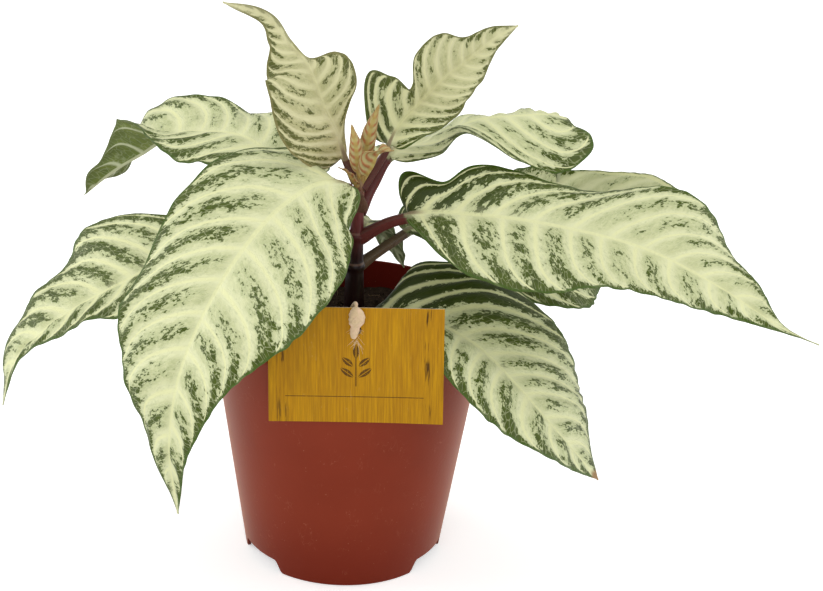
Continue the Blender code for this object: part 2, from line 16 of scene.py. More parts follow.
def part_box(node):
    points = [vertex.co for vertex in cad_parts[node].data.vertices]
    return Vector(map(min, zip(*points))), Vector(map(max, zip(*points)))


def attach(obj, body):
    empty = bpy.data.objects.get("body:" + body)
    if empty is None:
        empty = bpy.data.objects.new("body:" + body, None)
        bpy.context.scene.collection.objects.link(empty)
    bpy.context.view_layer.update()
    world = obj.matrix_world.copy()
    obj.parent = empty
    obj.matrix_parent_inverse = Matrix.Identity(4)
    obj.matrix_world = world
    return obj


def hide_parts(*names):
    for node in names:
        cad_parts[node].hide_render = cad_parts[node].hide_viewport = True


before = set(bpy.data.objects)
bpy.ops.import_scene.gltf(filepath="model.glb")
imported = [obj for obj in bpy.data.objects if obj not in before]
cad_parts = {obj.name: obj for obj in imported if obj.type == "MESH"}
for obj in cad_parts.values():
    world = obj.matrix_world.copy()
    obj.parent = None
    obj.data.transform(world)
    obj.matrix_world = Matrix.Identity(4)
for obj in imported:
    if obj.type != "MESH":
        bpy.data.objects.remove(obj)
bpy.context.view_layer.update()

# %% [markdown]
# ## Measures
# Every table below is in millimetres from the pot's axis, at the height of its feet, with +Z up and the
# front towards -Y. The pot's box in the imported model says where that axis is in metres, so one small
# function carries all places into the frame.

# %% From millimetres at the pot's axis to the frame
MM = 0.001
pot_low, pot_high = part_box("pot")
AXIS = np.array([(pot_low[0] + pot_high[0])/2, (pot_low[1] + pot_high[1])/2, pot_low[2]])


def in_frame(places):
    """Metres in the frame: the places in millimetres times 0.001, moved to the pot's axis."""
    return np.asarray(places, float)*MM + AXIS


print("pot's axis", AXIS.round(5))

# %% [markdown]
# ## Camera
# The photo was taken from in front and a little above with a long lens. The distance, tilt, roll and
# focal length come from fitting the pot's outline, so the same numbers give the same picture.

# %% Camera
PHOTO_WIDTH = 823
SENSOR_WIDTH = 36.0
FOCAL_PIXELS = 2576.8
CAMERA_DISTANCE = 1108.0
CAMERA_TILT = math.radians(24.4)
CAMERA_ROLL = math.radians(2.295)
CAMERA_TARGET = (26.7, 0.0, 119.9)


def add_camera():
    """The camera lies back from its target along the view line. Its right and up are then rolled together."""
    back = Vector((0, -math.cos(CAMERA_TILT), math.sin(CAMERA_TILT)))
    right = Vector((1, 0, 0))
    up = right.cross(-back)
    roll_cos, roll_sin = math.cos(CAMERA_ROLL), math.sin(CAMERA_ROLL)
    rolled_right = right*roll_cos + up*roll_sin
    rolled_up = up*roll_cos - right*roll_sin
    data = bpy.data.cameras.new("photo_camera")
    data.sensor_width = SENSOR_WIDTH
    data.lens = FOCAL_PIXELS*SENSOR_WIDTH/PHOTO_WIDTH
    data.clip_start, data.clip_end = 0.05, 50
    camera = bpy.data.objects.new("photo_camera", data)
    bpy.context.scene.collection.objects.link(camera)
    turn = Matrix((rolled_right, rolled_up, back)).transposed().to_4x4()
    eye = Vector(in_frame(CAMERA_TARGET)) + back*CAMERA_DISTANCE*MM
    camera.matrix_world = Matrix.Translation(eye) @ turn
    bpy.context.scene.camera = camera
    return camera


print("camera lens", round(add_camera().data.lens, 1), "mm")

# %% [markdown]
# ## Meshes from grids
# Almost every piece here is a sheet: a grid of places in rows and columns. These helpers turn grids into
# quads and put them into a mesh in one go, with extra values on the vertices that the materials read.

# %% Faces of a grid, and a mesh from whole arrays
def grid_quads(rows, cols, first=0, wrap_rows=False, wrap_cols=False):
    """Corner numbers of the quads between neighbouring rows and columns; a wrapped grid closes on itself."""
    i = np.arange(rows if wrap_rows else rows - 1)[:, None]
    j = np.arange(cols if wrap_cols else cols - 1)[None, :]
    below, beside = (i + 1) % rows, (j + 1) % cols
    corners = np.broadcast_arrays(i*cols + j, i*cols + beside, below*cols + beside, below*cols + j)
    return first + np.stack(corners, axis=-1).reshape(-1, 4)


def piece(name, places, faces, finishes, values=None, kinds=None, sharp=50.0):
    """An object from places in millimetres and a list of face arrays. kinds gives each face array's finish,
    and values are named vectors on the vertices."""
    places = in_frame(places)
    sizes = np.concatenate([np.full(len(f), f.shape[1]) for f in faces])
    corners = np.concatenate([f.ravel() for f in faces])
    mesh = bpy.data.meshes.new(name)
    mesh.vertices.add(len(places))
    mesh.vertices.foreach_set("co", places.astype(np.float32).ravel())
    mesh.loops.add(len(corners))
    mesh.loops.foreach_set("vertex_index", corners.astype(np.int32))
    mesh.polygons.add(len(sizes))
    mesh.polygons.foreach_set("loop_start", np.concatenate([[0], np.cumsum(sizes)[:-1]]).astype(np.int32))
    for finish in finishes:
        mesh.materials.append(finish)
    if kinds is not None:
        which = np.concatenate([np.full(len(f), kind) for f, kind in zip(faces, kinds)])
        mesh.polygons.foreach_set("material_index", which.astype(np.int32))
    for key, value in (values or {}).items():
        layer = mesh.attributes.new(key, "FLOAT_VECTOR", "POINT")
        layer.data.foreach_set("vector", np.asarray(value, np.float32).ravel())
    mesh.update()
    mesh.validate()
    mesh.shade_smooth()
    mesh.set_sharp_from_angle(angle=math.radians(sharp))
    made = bpy.data.objects.new(name, mesh)
    bpy.context.scene.collection.objects.link(made)
    print(name, len(places), "vertices,", len(sizes), "faces")
    return made


def unit(v):
    """Vectors of length 1 in the same directions."""
    return v/np.linalg.norm(v, axis=-1, keepdims=True)


def through(places, knots, at):
    """A smooth line through the places: cubics whose slopes at the knots are those of the parabola through
    the neighbours. Beyond the ends it goes on straight."""
    places, knots, at = np.asarray(places, float), np.asarray(knots, float), np.asarray(at, float)
    gaps = np.diff(knots)[:, None]
    rise = np.diff(places, axis=0)/gaps
    inner = (rise[:-1]*gaps[1:] + rise[1:]*gaps[:-1])/(gaps[:-1] + gaps[1:])
    slopes = np.concatenate([rise[:1], inner, rise[-1:]])
    span = np.clip(np.searchsorted(knots, at, side="right") - 1, 0, len(gaps) - 1)
    h = gaps[span]
    t = (at - knots[span])[..., None]/h
    before, beyond = np.minimum(t, 0), np.maximum(t - 1, 0)
    t = np.clip(t, 0, 1)
    a, b, p, q = places[span], places[span + 1], slopes[span], slopes[span + 1]
    curve = a*(1 + 2*t)*(1 - t)**2 + h*p*t*(1 - t)**2 + b*t*t*(3 - 2*t) + h*q*t*t*(t - 1)
    return curve + before*h*p + beyond*h*q


def ripple(at, seed, waves, reach):
    """A smooth irregular wave: the mean of sines with seeded phases whose lengths lie round reach."""
    rng = np.random.default_rng(seed)
    total = np.zeros(np.shape(at))
    for _ in range(waves):
        total += np.sin(2*math.pi*(at/(reach*rng.uniform(0.6, 1.6)) + rng.uniform()))
    return total/waves


# %% [markdown]
# ## Words for node trees
# A procedural material is a small sum of masks and colours. These helpers add one node each and return
# its output, so that a material reads from top to bottom like a recipe.

# %% Short calls for shader nodes
def node(tree, kind, inputs=None, **settings):
    """One node with its settings; each input, by name or number, is a value or another node's output."""
    made = tree.nodes.new("ShaderNode" + kind)
    for key, value in settings.items():
        setattr(made, key, value)
    for key, value in (inputs or {}).items():
        if isinstance(value, bpy.types.NodeSocket):
            tree.links.new(value, made.inputs[key])
        else:
            made.inputs[key].default_value = value
    return made


def calc(tree, operation, *values):
    """A Math node's result."""
    return node(tree, "Math", dict(enumerate(values)), operation=operation).outputs[0]


def weigh(tree, value, times, plus=0.0):
    """value times a number plus a number."""
    return calc(tree, "MULTIPLY_ADD", value, times, plus)


def step(tree, value, low, high):
    """0 below low and 1 above high, with a smooth rise between; the other way round where low is larger."""
    return node(tree, "MapRange", {0: value, 1: low, 2: high}, interpolation_type="SMOOTHSTEP").outputs[0]


def blend(tree, factor, first, second):
    """The first colour turned into the second by factor."""
    first = first if isinstance(first, bpy.types.NodeSocket) else (*first, 1)
    second = second if isinstance(second, bpy.types.NodeSocket) else (*second, 1)
    return node(tree, "Mix", {0: factor, 6: first, 7: second}, data_type="RGBA").outputs[2]


def coats(tree, colour, *layers):
    """The colour with layers over it, one after another: each is a mask, its strength and its colour."""
    for mask, strength, tint in layers:
        colour = blend(tree, mask if strength == 1 else weigh(tree, mask, strength), colour, tint)
    return colour


def noise(tree, place, size, detail=2.0, rough=0.5, stretch=None):
    """Smooth noise from 0 to 1 with lumps of about that size, longer where stretch is over 1."""
    scale = [1/size/(s or 1) for s in (stretch or (1, 1, 1))]
    moved = node(tree, "VectorMath", {0: place, 1: scale}, operation="MULTIPLY").outputs[0]
    settings = {"Vector": moved, "Scale": 1.0, "Detail": detail, "Roughness": rough}
    return node(tree, "TexNoise", settings).outputs[0]


def vector_value(tree, name):
    """The three numbers of a named value on the vertices."""
    read = node(tree, "Attribute", attribute_name=name).outputs["Vector"]
    parts = node(tree, "SeparateXYZ", {0: read}).outputs
    return read, parts[0], parts[1], parts[2]


def spot(tree, centre=(0, 0, 0)):
    """Object coordinates in millimetres, measured from a place given from the pot's axis."""
    here = node(tree, "TexCoord").outputs["Object"]
    settings = {"Vector": here, "Location": tuple(-in_frame(centre)/MM), "Scale": (1/MM,)*3}
    return node(tree, "Mapping", settings, vector_type="POINT").outputs[0]


def new_group(name, inputs, outputs):
    """An empty node group with named number sockets, and vectors where the name says Place."""
    tree = bpy.data.node_groups.new(name, "ShaderNodeTree")
    for side, names in (("INPUT", inputs), ("OUTPUT", outputs)):
        for word in names:
            kind = "NodeSocketVector" if word == "Place" else "NodeSocketFloat"
            tree.interface.new_socket(name=word, in_out=side, socket_type=kind)
    return tree, tree.nodes.new("NodeGroupInput").outputs, tree.nodes.new("NodeGroupOutput").inputs


def use_group(tree, group, **inputs):
    """A group's outputs in a material, with its inputs given by name."""
    made = tree.nodes.new("ShaderNodeGroup")
    made.node_tree = group
    for key, value in inputs.items():
        socket = made.inputs[key.replace("_", " ")]
        if isinstance(value, bpy.types.NodeSocket):
            tree.links.new(value, socket)
        else:
            socket.default_value = value
    return made.outputs


def new_finish(name, roughness, **constants):
    """A material with a Principled shader whose other constants are set on its own sockets."""
    made = bpy.data.materials.new(name)
    made.use_nodes = True
    shader = made.node_tree.nodes["Principled BSDF"]
    shader.inputs["Roughness"].default_value = roughness
    for key, value in constants.items():
        shader.inputs[key.replace("_", " ")].default_value = value
    return made, made.node_tree, shader.inputs


def relief(tree, sockets, height, depth):
    """Bump of that depth in millimetres from a height between 0 and 1."""
    made = node(tree, "Bump", {"Strength": 1.0, "Distance": depth*MM, "Height": height})
    tree.links.new(made.outputs[0], sockets["Normal"])


# %% [markdown]
# ## Wear that several finishes share
# Nothing here is fresh from its mould or press: the pot and the card carry faint dust and rubbed spots.
# One node group gives both a soft cloud mask and a fine scratch mask, each material with its own sizes.

# %% Node group: handling wear
def make_wear_group():
    """Cloud is slow noise; Scratches are thin lines where stretched noise passes through its middle value."""
    tree, given, out = new_group("handling wear", ["Place", "Cloud size", "Scratch size"],
                                 ["Cloud", "Scratches"])
    cloud_place, line_place = [
        node(tree, "VectorMath", {0: given["Place"], 3: calc(tree, "DIVIDE", 1.0, given[size])},
             operation="SCALE").outputs[0] for size in ("Cloud size", "Scratch size")]
    cloud = node(tree, "TexNoise", {"Vector": cloud_place, "Scale": 1.0, "Detail": 3.0}).outputs[0]
    drawn_out = {"Vector": line_place, "Rotation": (0.3, 0.9, 0.5), "Scale": (4.0, 0.25, 2.0)}
    long_place = node(tree, "Mapping", drawn_out, vector_type="POINT").outputs[0]
    lines = node(tree, "TexNoise", {"Vector": long_place, "Scale": 1.0, "Detail": 1.0}).outputs[0]
    off = calc(tree, "ABSOLUTE", weigh(tree, lines, 1.0, -0.5))
    thin = step(tree, off, 0.012, 0.0)
    where = step(tree, node(tree, "TexNoise", {"Vector": cloud_place, "Scale": 2.3}).outputs[0], 0.55, 0.68)
    tree.links.new(cloud, out["Cloud"])
    tree.links.new(calc(tree, "MULTIPLY", thin, where), out["Scratches"])
    return tree


WEAR = make_wear_group()
print("group", WEAR.name)

# %% [markdown]
# ## Pot
# A nursery pot is blown or moulded from thin polypropylene. It is one profile turned round its axis:
# the floor, a base ring cut by three slanted notches into feet, a straight wall and a thin rolled rim.
# The notches come from letting the height of the ring's lower edge depend on the angle.

# %% Pot: profile and turning
POT_HEIGHT, RIM_RADIUS, BASE_RADIUS, WALL = 110.0, 60.0, 43.2, 1.2
FLOOR_TOP, FLOOR_UNDER = 8.2, 7.0
RIM_ROUND_OUT, RIM_ROUND_IN = 0.62, 0.5
NOTCH_HEIGHT, NOTCH_HALF_ANGLE, NOTCH_SLANT, FIRST_NOTCH = 5.8, 17.5, 5.0, -25.0
POT_SIDES = 288


def pot_radius(z):
    """The outer wall's radius, which grows evenly with height."""
    return BASE_RADIUS + (RIM_RADIUS - BASE_RADIUS)*z/POT_HEIGHT


def arc(centre, radius, first, last, steps=6):
    """Places on an arc of the profile, from the first angle to the last in degrees."""
    angles = np.radians(np.linspace(first, last, steps))
    return [(centre[0] + radius*math.cos(a), centre[1] + radius*math.sin(a)) for a in angles]


def foot_height(angle):
    """0 on the feet and the notch's height inside the three notches, with a smooth slanted change."""
    away = np.abs((np.degrees(angle) - FIRST_NOTCH + 60) % 120 - 60)
    rise = np.clip((NOTCH_HALF_ANGLE + NOTCH_SLANT/2 - away)/NOTCH_SLANT, 0, 1)
    return NOTCH_HEIGHT*rise*rise*(3 - 2*rise)


def pot_profile():
    """Radius and height from the middle of the underside, round the foot and rim, to the floor's middle.
    The third number is 1 where the height follows the notches, and 0 elsewhere."""
    skirt = BASE_RADIUS - WALL - 0.4
    inner = pot_radius(FLOOR_TOP) - WALL
    outer_rim = (RIM_RADIUS - RIM_ROUND_OUT, POT_HEIGHT - RIM_ROUND_OUT)
    inner_rim = (RIM_RADIUS - 0.72, POT_HEIGHT - RIM_ROUND_IN)
    line = [(r, FLOOR_UNDER, 0) for r in (0.0, skirt*0.5, skirt - 0.6)]
    line += [(skirt, FLOOR_UNDER - 0.2, 0)]
    line += [(skirt, 0.3, 1), (skirt + 0.3, 0, 1), (BASE_RADIUS - 0.3, 0, 1), (BASE_RADIUS, 0.3, 1)]
    wall_heights = (NOTCH_HEIGHT + 0.9, NOTCH_HEIGHT + 2, 20, 35, 50, 65, 80, 95, 108)
    line += [(pot_radius(z), z, 0) for z in wall_heights]
    line += [(r, z, 0) for r, z in arc(outer_rim, RIM_ROUND_OUT, 0, 90)]
    line += [(r, z, 0) for r, z in arc(inner_rim, RIM_ROUND_IN, 90, 180)]
    line += [(pot_radius(z) - WALL, z, 0) for z in (108, 95, 80, 60, 40, 20)]
    line += [(inner, FLOOR_TOP + 1, 0)]
    line += [(r, FLOOR_TOP, 0) for r in (inner - 1, inner*0.5, 0.0)]
    return np.array(line, float)


def pot_places():
    """The profile turned round Z, a row for each profile place and a column for each angle."""
    radius, height, notched = pot_profile().T
    angle = 2*math.pi*np.arange(POT_SIDES)/POT_SIDES
    z = height[:, None] + notched[:, None]*foot_height(angle)[None, :]
    lift = np.minimum(z, NOTCH_HEIGHT + 0.6)
    r = np.where(notched[:, None] > 0, radius[:, None] + (pot_radius(lift) - BASE_RADIUS), radius[:, None])
    return np.stack([r*np.cos(angle), r*np.sin(angle), z], axis=-1)


def closed_turning(grid):
    """Vertices and faces of a turned grid whose first and last rows are single places on the axis."""
    rows, cols = grid.shape[:2]
    places = np.concatenate([grid[:1, 0], grid[1:-1].reshape(-1, 3), grid[-1:, 0]])
    quads = grid_quads(rows - 2, cols, 1, wrap_cols=True)
    k = np.arange(cols)
    last = 1 + (rows - 3)*cols
    start = np.stack([0*k, 1 + (k + 1) % cols, 1 + k], axis=-1)
    end = np.stack([last + k, last + (k + 1) % cols, 0*k + len(places) - 1], axis=-1)
    return places, [quads, start, end]


# %% [markdown]
# ## Pot plastic
# Thin plastic of this kind is satin and a little cloudy, and pale where the view grazes the wall. One flat
# colour would look like clay, and a strong gloss like glaze. So the colour drifts with the height and with
# cloud noise, painted shade darkens it towards the foot and over the inner wall, and a soft sheen lights
# the sides.

# %% Pot: red-brown plastic
def make_pot_finish():
    """Satin red-brown: clouds, a drift with the height, painted shade towards the foot and on the inner wall,
    scratches and pale specks.
    """
    finish, tree, sockets = new_finish("pot plastic", 0.42, Specular_IOR_Level=0.12, Sheen_Weight=0.6,
                                       Sheen_Roughness=0.35, Sheen_Tint=(1.0, 0.62, 0.48, 1.0))
    place = spot(tree)
    height = node(tree, "SeparateXYZ", {0: place}).outputs[2]
    level = node(tree, "VectorMath", {0: place, 1: (1, 1, 0)}, operation="MULTIPLY").outputs[0]
    reach = node(tree, "VectorMath", {0: level}, operation="LENGTH").outputs[1]
    slant = (pot_radius(90.0) - pot_radius(10.0))/80.0
    from_wall = calc(tree, "SUBTRACT", reach, weigh(tree, height, slant, pot_radius(0.0) - WALL/2))
    wear = use_group(tree, WEAR, Place=place, Cloud_size=22.0, Scratch_size=9.0)
    cloudy = blend(tree, wear["Cloud"], (0.190, 0.023, 0.007), (0.235, 0.031, 0.011))
    specks = step(tree, noise(tree, place, 1.1, 1.0), 0.755, 0.79)
    colour = coats(tree, cloudy,
                   (step(tree, height, 60.0, 112.0), 1, (0.245, 0.036, 0.014)),
                   # painted shade: the colour is darkened towards the pot's foot
                   (step(tree, height, 40.0, 2.0), 0.6, (0.150, 0.010, 0.002)),
                   # painted shade: the inner wall is painted darker than the outside
                   (step(tree, from_wall, 0.1, -0.1), 1, (0.125, 0.007, 0.003)),
                   (wear["Scratches"], 0.35, (0.42, 0.16, 0.10)),
                   (specks, 0.25, (0.45, 0.22, 0.15)))
    tree.links.new(colour, sockets["Base Color"])
    rough = calc(tree, "ADD", weigh(tree, wear["Cloud"], 0.14, 0.36), weigh(tree, wear["Scratches"], 0.15))
    tree.links.new(rough, sockets["Roughness"])
    relief(tree, sockets, noise(tree, place, 1.6, 3.0), 0.03)
    return finish


def make_pot():
    """The profile turned round Z, closed at both poles."""
    places, faces = closed_turning(pot_places())
    made = piece("pot_wall", places, faces, [make_pot_finish()], sharp=35.0)
    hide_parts("pot")
    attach(made, "root")


make_pot()

# %% [markdown]
# ## Soil
# Peat fills the pot to about 12 mm below its rim. A lumpy top alone looks like a rug, so small crumbs
# and loose fibres lie on it. The body is one closed grid turned round the axis, with a hole for the
# stem; its top is raised by summed waves. Crumbs are one rough pebble placed many times as one array.

# %% Soil: the body
SOIL_TOP, SOIL_HOLE, SOIL_HOLE_FLOOR, GAP = 97.5, 4.7, 59.7, 0.3
SOIL_SIDE_HEIGHTS = (30.0, 60.0, 90.0)
SOIL_SIDES = 144
STEM_X = 2.0


def soil_height(x, y):
    """Height of the top: long waves and short lumps, rising a little towards the stem."""
    rng = np.random.default_rng(11)
    total = np.zeros(np.shape(x))
    for size, high in ((26, 0.8), (11, 0.7), (5, 0.45), (2.6, 0.3)):
        for _ in range(4):
            turn, phase = rng.uniform(0, 2*math.pi, 2)
            total += high/2*np.sin(2*math.pi*(x*math.cos(turn) + y*math.sin(turn))/size + phase)
    near_stem = np.exp(-((x - STEM_X)**2 + y**2)/12.0**2)
    return SOIL_TOP + 0.4 + 0.7*total + 1.2*near_stem


def make_soil_body(finish):
    """Rings from the middle of the underside, up the wall, in over the top and down the stem's hole."""
    wall, low = pot_radius(SOIL_TOP) - WALL - 2*GAP, pot_radius(FLOOR_TOP) - WALL - 2*GAP
    top = np.linspace(wall, SOIL_HOLE, 64)
    side = [pot_radius(z) - WALL - 2*GAP for z in SOIL_SIDE_HEIGHTS]
    radius = np.concatenate([[0, low*0.5, low, low + 0.2], side, top, [SOIL_HOLE, SOIL_HOLE, SOIL_HOLE, 0]])
    shift = np.clip((wall - radius)/(wall - SOIL_HOLE), 0, 1)*STEM_X
    shift[:7] = 0
    angle = 2*math.pi*np.arange(SOIL_SIDES)/SOIL_SIDES
    x = shift[:, None] + radius[:, None]*np.cos(angle)
    y = radius[:, None]*np.sin(angle)
    z = soil_height(x, y)
    z[:4] = np.array([FLOOR_TOP + GAP, FLOOR_TOP + GAP, FLOOR_TOP + GAP, FLOOR_TOP + 0.5])[:, None]
    z[4:7] = np.array(SOIL_SIDE_HEIGHTS)[:, None]
    z[-4:] = np.array([SOIL_TOP - 1, 80, SOIL_HOLE_FLOOR, SOIL_HOLE_FLOOR])[:, None]
    places, faces = closed_turning(np.stack([x, y, z], axis=-1))
    made = piece("soil_body", places, faces, [finish], sharp=80.0)
    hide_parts("soil")
    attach(made, "root")


# %% Soil: crumbs and fibres
CRUMBS, CRUMB_SEED = 1500, 12
FIBRES, FIBRE_SEED, FIBRE_PLACES = 260, 13, 8
CLEAR_OF_STEM = 6.5
# A pebble has the twelve corners and twenty triangles of an icosahedron
PEBBLE = np.array([(0, 0, 1), (0.89, 0, 0.45), (0.28, 0.85, 0.45), (-0.72, 0.53, 0.45), (-0.72, -0.53, 0.45),
                   (0.28, -0.85, 0.45), (0.72, 0.53, -0.45), (-0.28, 0.85, -0.45), (-0.89, 0, -0.45),
                   (-0.28, -0.85, -0.45), (0.72, -0.53, -0.45), (0, 0, -1)])
PEBBLE_FACES = np.array([(0, 1, 2), (0, 2, 3), (0, 3, 4), (0, 4, 5), (0, 5, 1), (1, 6, 2), (2, 7, 3),
                         (3, 8, 4), (4, 9, 5), (5, 10, 1), (2, 6, 7), (3, 7, 8), (4, 8, 9), (5, 9, 10),
                         (1, 10, 6), (7, 6, 11), (8, 7, 11), (9, 8, 11), (10, 9, 11), (6, 10, 11)])


def on_soil(rng, count, reach):
    """Even random places on the soil between the stem and reach."""
    radius = np.sqrt(rng.uniform(CLEAR_OF_STEM**2, reach**2, count))
    angle = rng.uniform(0, 2*math.pi, count)
    return STEM_X*0.5 + radius*np.cos(angle), radius*np.sin(angle)


def make_crumbs(finish, count=CRUMBS):
    """Each crumb is the pebble with its own stretch in three directions, jittered corners and a turn."""
    rng = np.random.default_rng(CRUMB_SEED)
    reach = pot_radius(SOIL_TOP) - WALL - 3.0
    x, y = on_soil(rng, count, reach)
    size = 0.35 + 1.25*rng.uniform(0, 1, count)**3
    corners = PEBBLE[None]*(1 + 0.25*rng.uniform(-1, 1, (count, len(PEBBLE), 1)))
    corners = corners*rng.uniform(0.6, 1.3, (count, 1, 3))*size[:, None, None]
    turn = rng.uniform(0, 2*math.pi, count)
    cos, sin = np.cos(turn)[:, None], np.sin(turn)[:, None]
    turned = np.stack([corners[..., 0]*cos - corners[..., 1]*sin, corners[..., 0]*sin + corners[..., 1]*cos,
                       corners[..., 2]*0.8], axis=-1)
    middle = np.stack([x, y, soil_height(x, y) + 0.15*size], axis=-1)
    places = (turned + middle[:, None]).reshape(-1, 3)
    faces = (PEBBLE_FACES[None] + len(PEBBLE)*np.arange(count)[:, None, None]).reshape(-1, 3)
    made = piece("soil_crumbs", places, [faces], [finish], sharp=30.0)
    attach(made, "root")


def tubes(lines, radius, sides=3, taper=0.5):
    """Closed tubes along many lines at once: a ring of places round each line's place, square to its run,
    and a place at each end. lines is strands by places by 3, and radius is one number for each strand."""
    run = unit(np.gradient(lines, axis=1))
    aside = unit(np.cross(run, np.array([0.31, 0.47, 0.83])))
    above = np.cross(run, aside)
    angle = 2*math.pi*np.arange(sides)/sides
    along = np.linspace(0, 1, lines.shape[1])[None, :, None, None]
    wide = np.asarray(radius)[:, None, None, None]*(1 - taper*along)
    ring = aside[:, :, None]*np.cos(angle)[:, None] + above[:, :, None]*np.sin(angle)[:, None]
    rings = lines[:, :, None] + ring*wide
    strands, steps = lines.shape[:2]
    per = steps*sides + 2
    places = np.concatenate([rings.reshape(strands, -1, 3), lines[:, :1], lines[:, -1:]], axis=1)
    k = np.arange(sides)
    walls = grid_quads(steps, sides, wrap_cols=True)
    start = np.stack([(k + 1) % sides, k, 0*k + per - 2], axis=-1)
    end = np.stack([(steps - 1)*sides + k, (steps - 1)*sides + (k + 1) % sides, 0*k + per - 1], axis=-1)
    move = per*np.arange(strands)[:, None, None]
    return places.reshape(-1, 3), [(f[None] + move).reshape(-1, f.shape[1]) for f in (walls, start, end)]


def make_fibres(finish, count=FIBRES):
    """Each fibre is a short bent line that lies on the soil and lifts a little between its ends."""
    rng = np.random.default_rng(FIBRE_SEED)
    x, y = on_soil(rng, count, pot_radius(SOIL_TOP) - WALL - 5.0)
    turn, bend = rng.uniform(0, 2*math.pi, count), rng.uniform(-1.6, 1.6, count)
    length = rng.uniform(2.0, 9.0, count)
    s = np.linspace(0, 1, FIBRE_PLACES)[None, :]
    heading = turn[:, None] + bend[:, None]*s
    px = x[:, None] + np.cumsum(np.cos(heading), axis=1)*length[:, None]/FIBRE_PLACES
    py = y[:, None] + np.cumsum(np.sin(heading), axis=1)*length[:, None]/FIBRE_PLACES
    wall = pot_radius(SOIL_TOP) - WALL - 1.0
    inside = np.minimum(1, wall/np.hypot(px, py))
    px, py = px*inside, py*inside
    pz = soil_height(px, py) + 0.35 + rng.uniform(0, 1.6, count)[:, None]*np.sin(math.pi*s)
    places, faces = tubes(np.stack([px, py, pz], axis=-1), rng.uniform(0.06, 0.16, count))
    made = piece("soil_fibres", places, faces, [finish])
    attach(made, "root")


# %% [markdown]
# ## Peat
# Damp peat is nearly black with brown specks, and has no gloss. Bump alone can't roughen its outline, but
# the crumbs already do, so the finish only adds two sizes of colour noise and a fine grain.

# %% Soil: dark peat and dry fibre
def make_peat_finish():
    """Nearly black, with brown patches where noise is high, and a grain of bump."""
    finish, tree, sockets = new_finish("dark peat", 0.95, Specular_IOR_Level=0.1)
    place = spot(tree)
    colour = blend(tree, noise(tree, place, 2.0, 4.0, 0.7), (0.006, 0.004, 0.003), (0.045, 0.027, 0.017))
    colour = blend(tree, step(tree, noise(tree, place, 0.9, 2.0), 0.62, 0.72), colour, (0.10, 0.062, 0.036))
    tree.links.new(colour, sockets["Base Color"])
    relief(tree, sockets, noise(tree, place, 0.7, 4.0, 0.7), 0.5)
    return finish


def make_fibre_finish():
    """Dry straw brown that drifts with slow noise."""
    finish, tree, sockets = new_finish("peat fibre", 0.8)
    place = spot(tree)
    colour = blend(tree, noise(tree, place, 6.0), (0.07, 0.038, 0.020), (0.22, 0.13, 0.07))
    tree.links.new(colour, sockets["Base Color"])
    return finish


peat = make_peat_finish()
make_soil_body(peat)
make_crumbs(peat)
make_fibres(make_fibre_finish())

# %% [markdown]
# ## Stem
# A young woody shoot: almost black and glossy low down, wine red where it is still growing, with a ring
# at each leaf pair. It is a tube along a nearly upright line. Its radius swells in a bell curve at every
# node, and shallow ribs run up it.

# %% Stem: the tube
# Each row is a height, how far the stem's middle stands to the side there, and its radius
STEM = np.array([(60.0, 2.0, 3.6), (97.0, 2.0, 4.5), (112.0, 2.0, 4.4), (126.0, 2.0, 4.0), (134.0, 2.1, 3.4),
                 (147.0, 2.3, 2.9), (161.0, 2.5, 2.6), (170.0, 2.8, 2.3), (176.0, 3.0, 1.6)])
STEM_FOOT, STEM_TOP = STEM[0, 0], STEM[-1, 0]
STEM_NODES = (112.0, 133.0, 147.0, 161.0)
NODE_SWELL, NODE_SPREAD = 0.7, 1.5
STEM_SIDES, STEM_RINGS, STEM_RIBS, RIB_DEPTH = 48, 180, 6, 0.012


def stem_radius(z):
    """The stations' radius between them, plus a bell at each node."""
    bells = sum(NODE_SWELL*np.exp(-((z - n)/NODE_SPREAD)**2) for n in STEM_NODES)
    return np.interp(z, STEM[:, 0], STEM[:, 2]) + bells


def make_stem(finish):
    """Rings round the line, ribbed by a low cosine, and drawn in to a dome at the top."""
    z = np.concatenate([[STEM_FOOT], np.linspace(STEM_FOOT, STEM_TOP, STEM_RINGS),
                        STEM_TOP + np.array([0.5, 0.9, 1.1])])
    close = np.ones(len(z))
    close[0], close[-3:] = 0, (0.75, 0.4, 0)
    angle = 2*math.pi*np.arange(STEM_SIDES)/STEM_SIDES
    ribs = 1 + RIB_DEPTH*np.cos(STEM_RIBS*angle)[None, :] + 0.01*ripple(z, 5, 4, 9.0)[:, None]
    r = (stem_radius(z)*close)[:, None]*ribs
    x = np.interp(z, STEM[:, 0], STEM[:, 1])[:, None] + r*np.cos(angle)
    places, faces = closed_turning(np.stack([x, r*np.sin(angle), z[:, None] + 0*r], axis=-1))
    made = piece("stem_shoot", places, faces, [finish], sharp=70.0)
    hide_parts("stem")
    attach(made, "root")


# %% [markdown]
# ## Bark
# Young bark is smooth and streaked along the stem. A picture could show that, but noise drawn out nine
# times along the height does too, and never runs out. The height also turns maroon black into wine red,
# and paler rings mark the nodes.

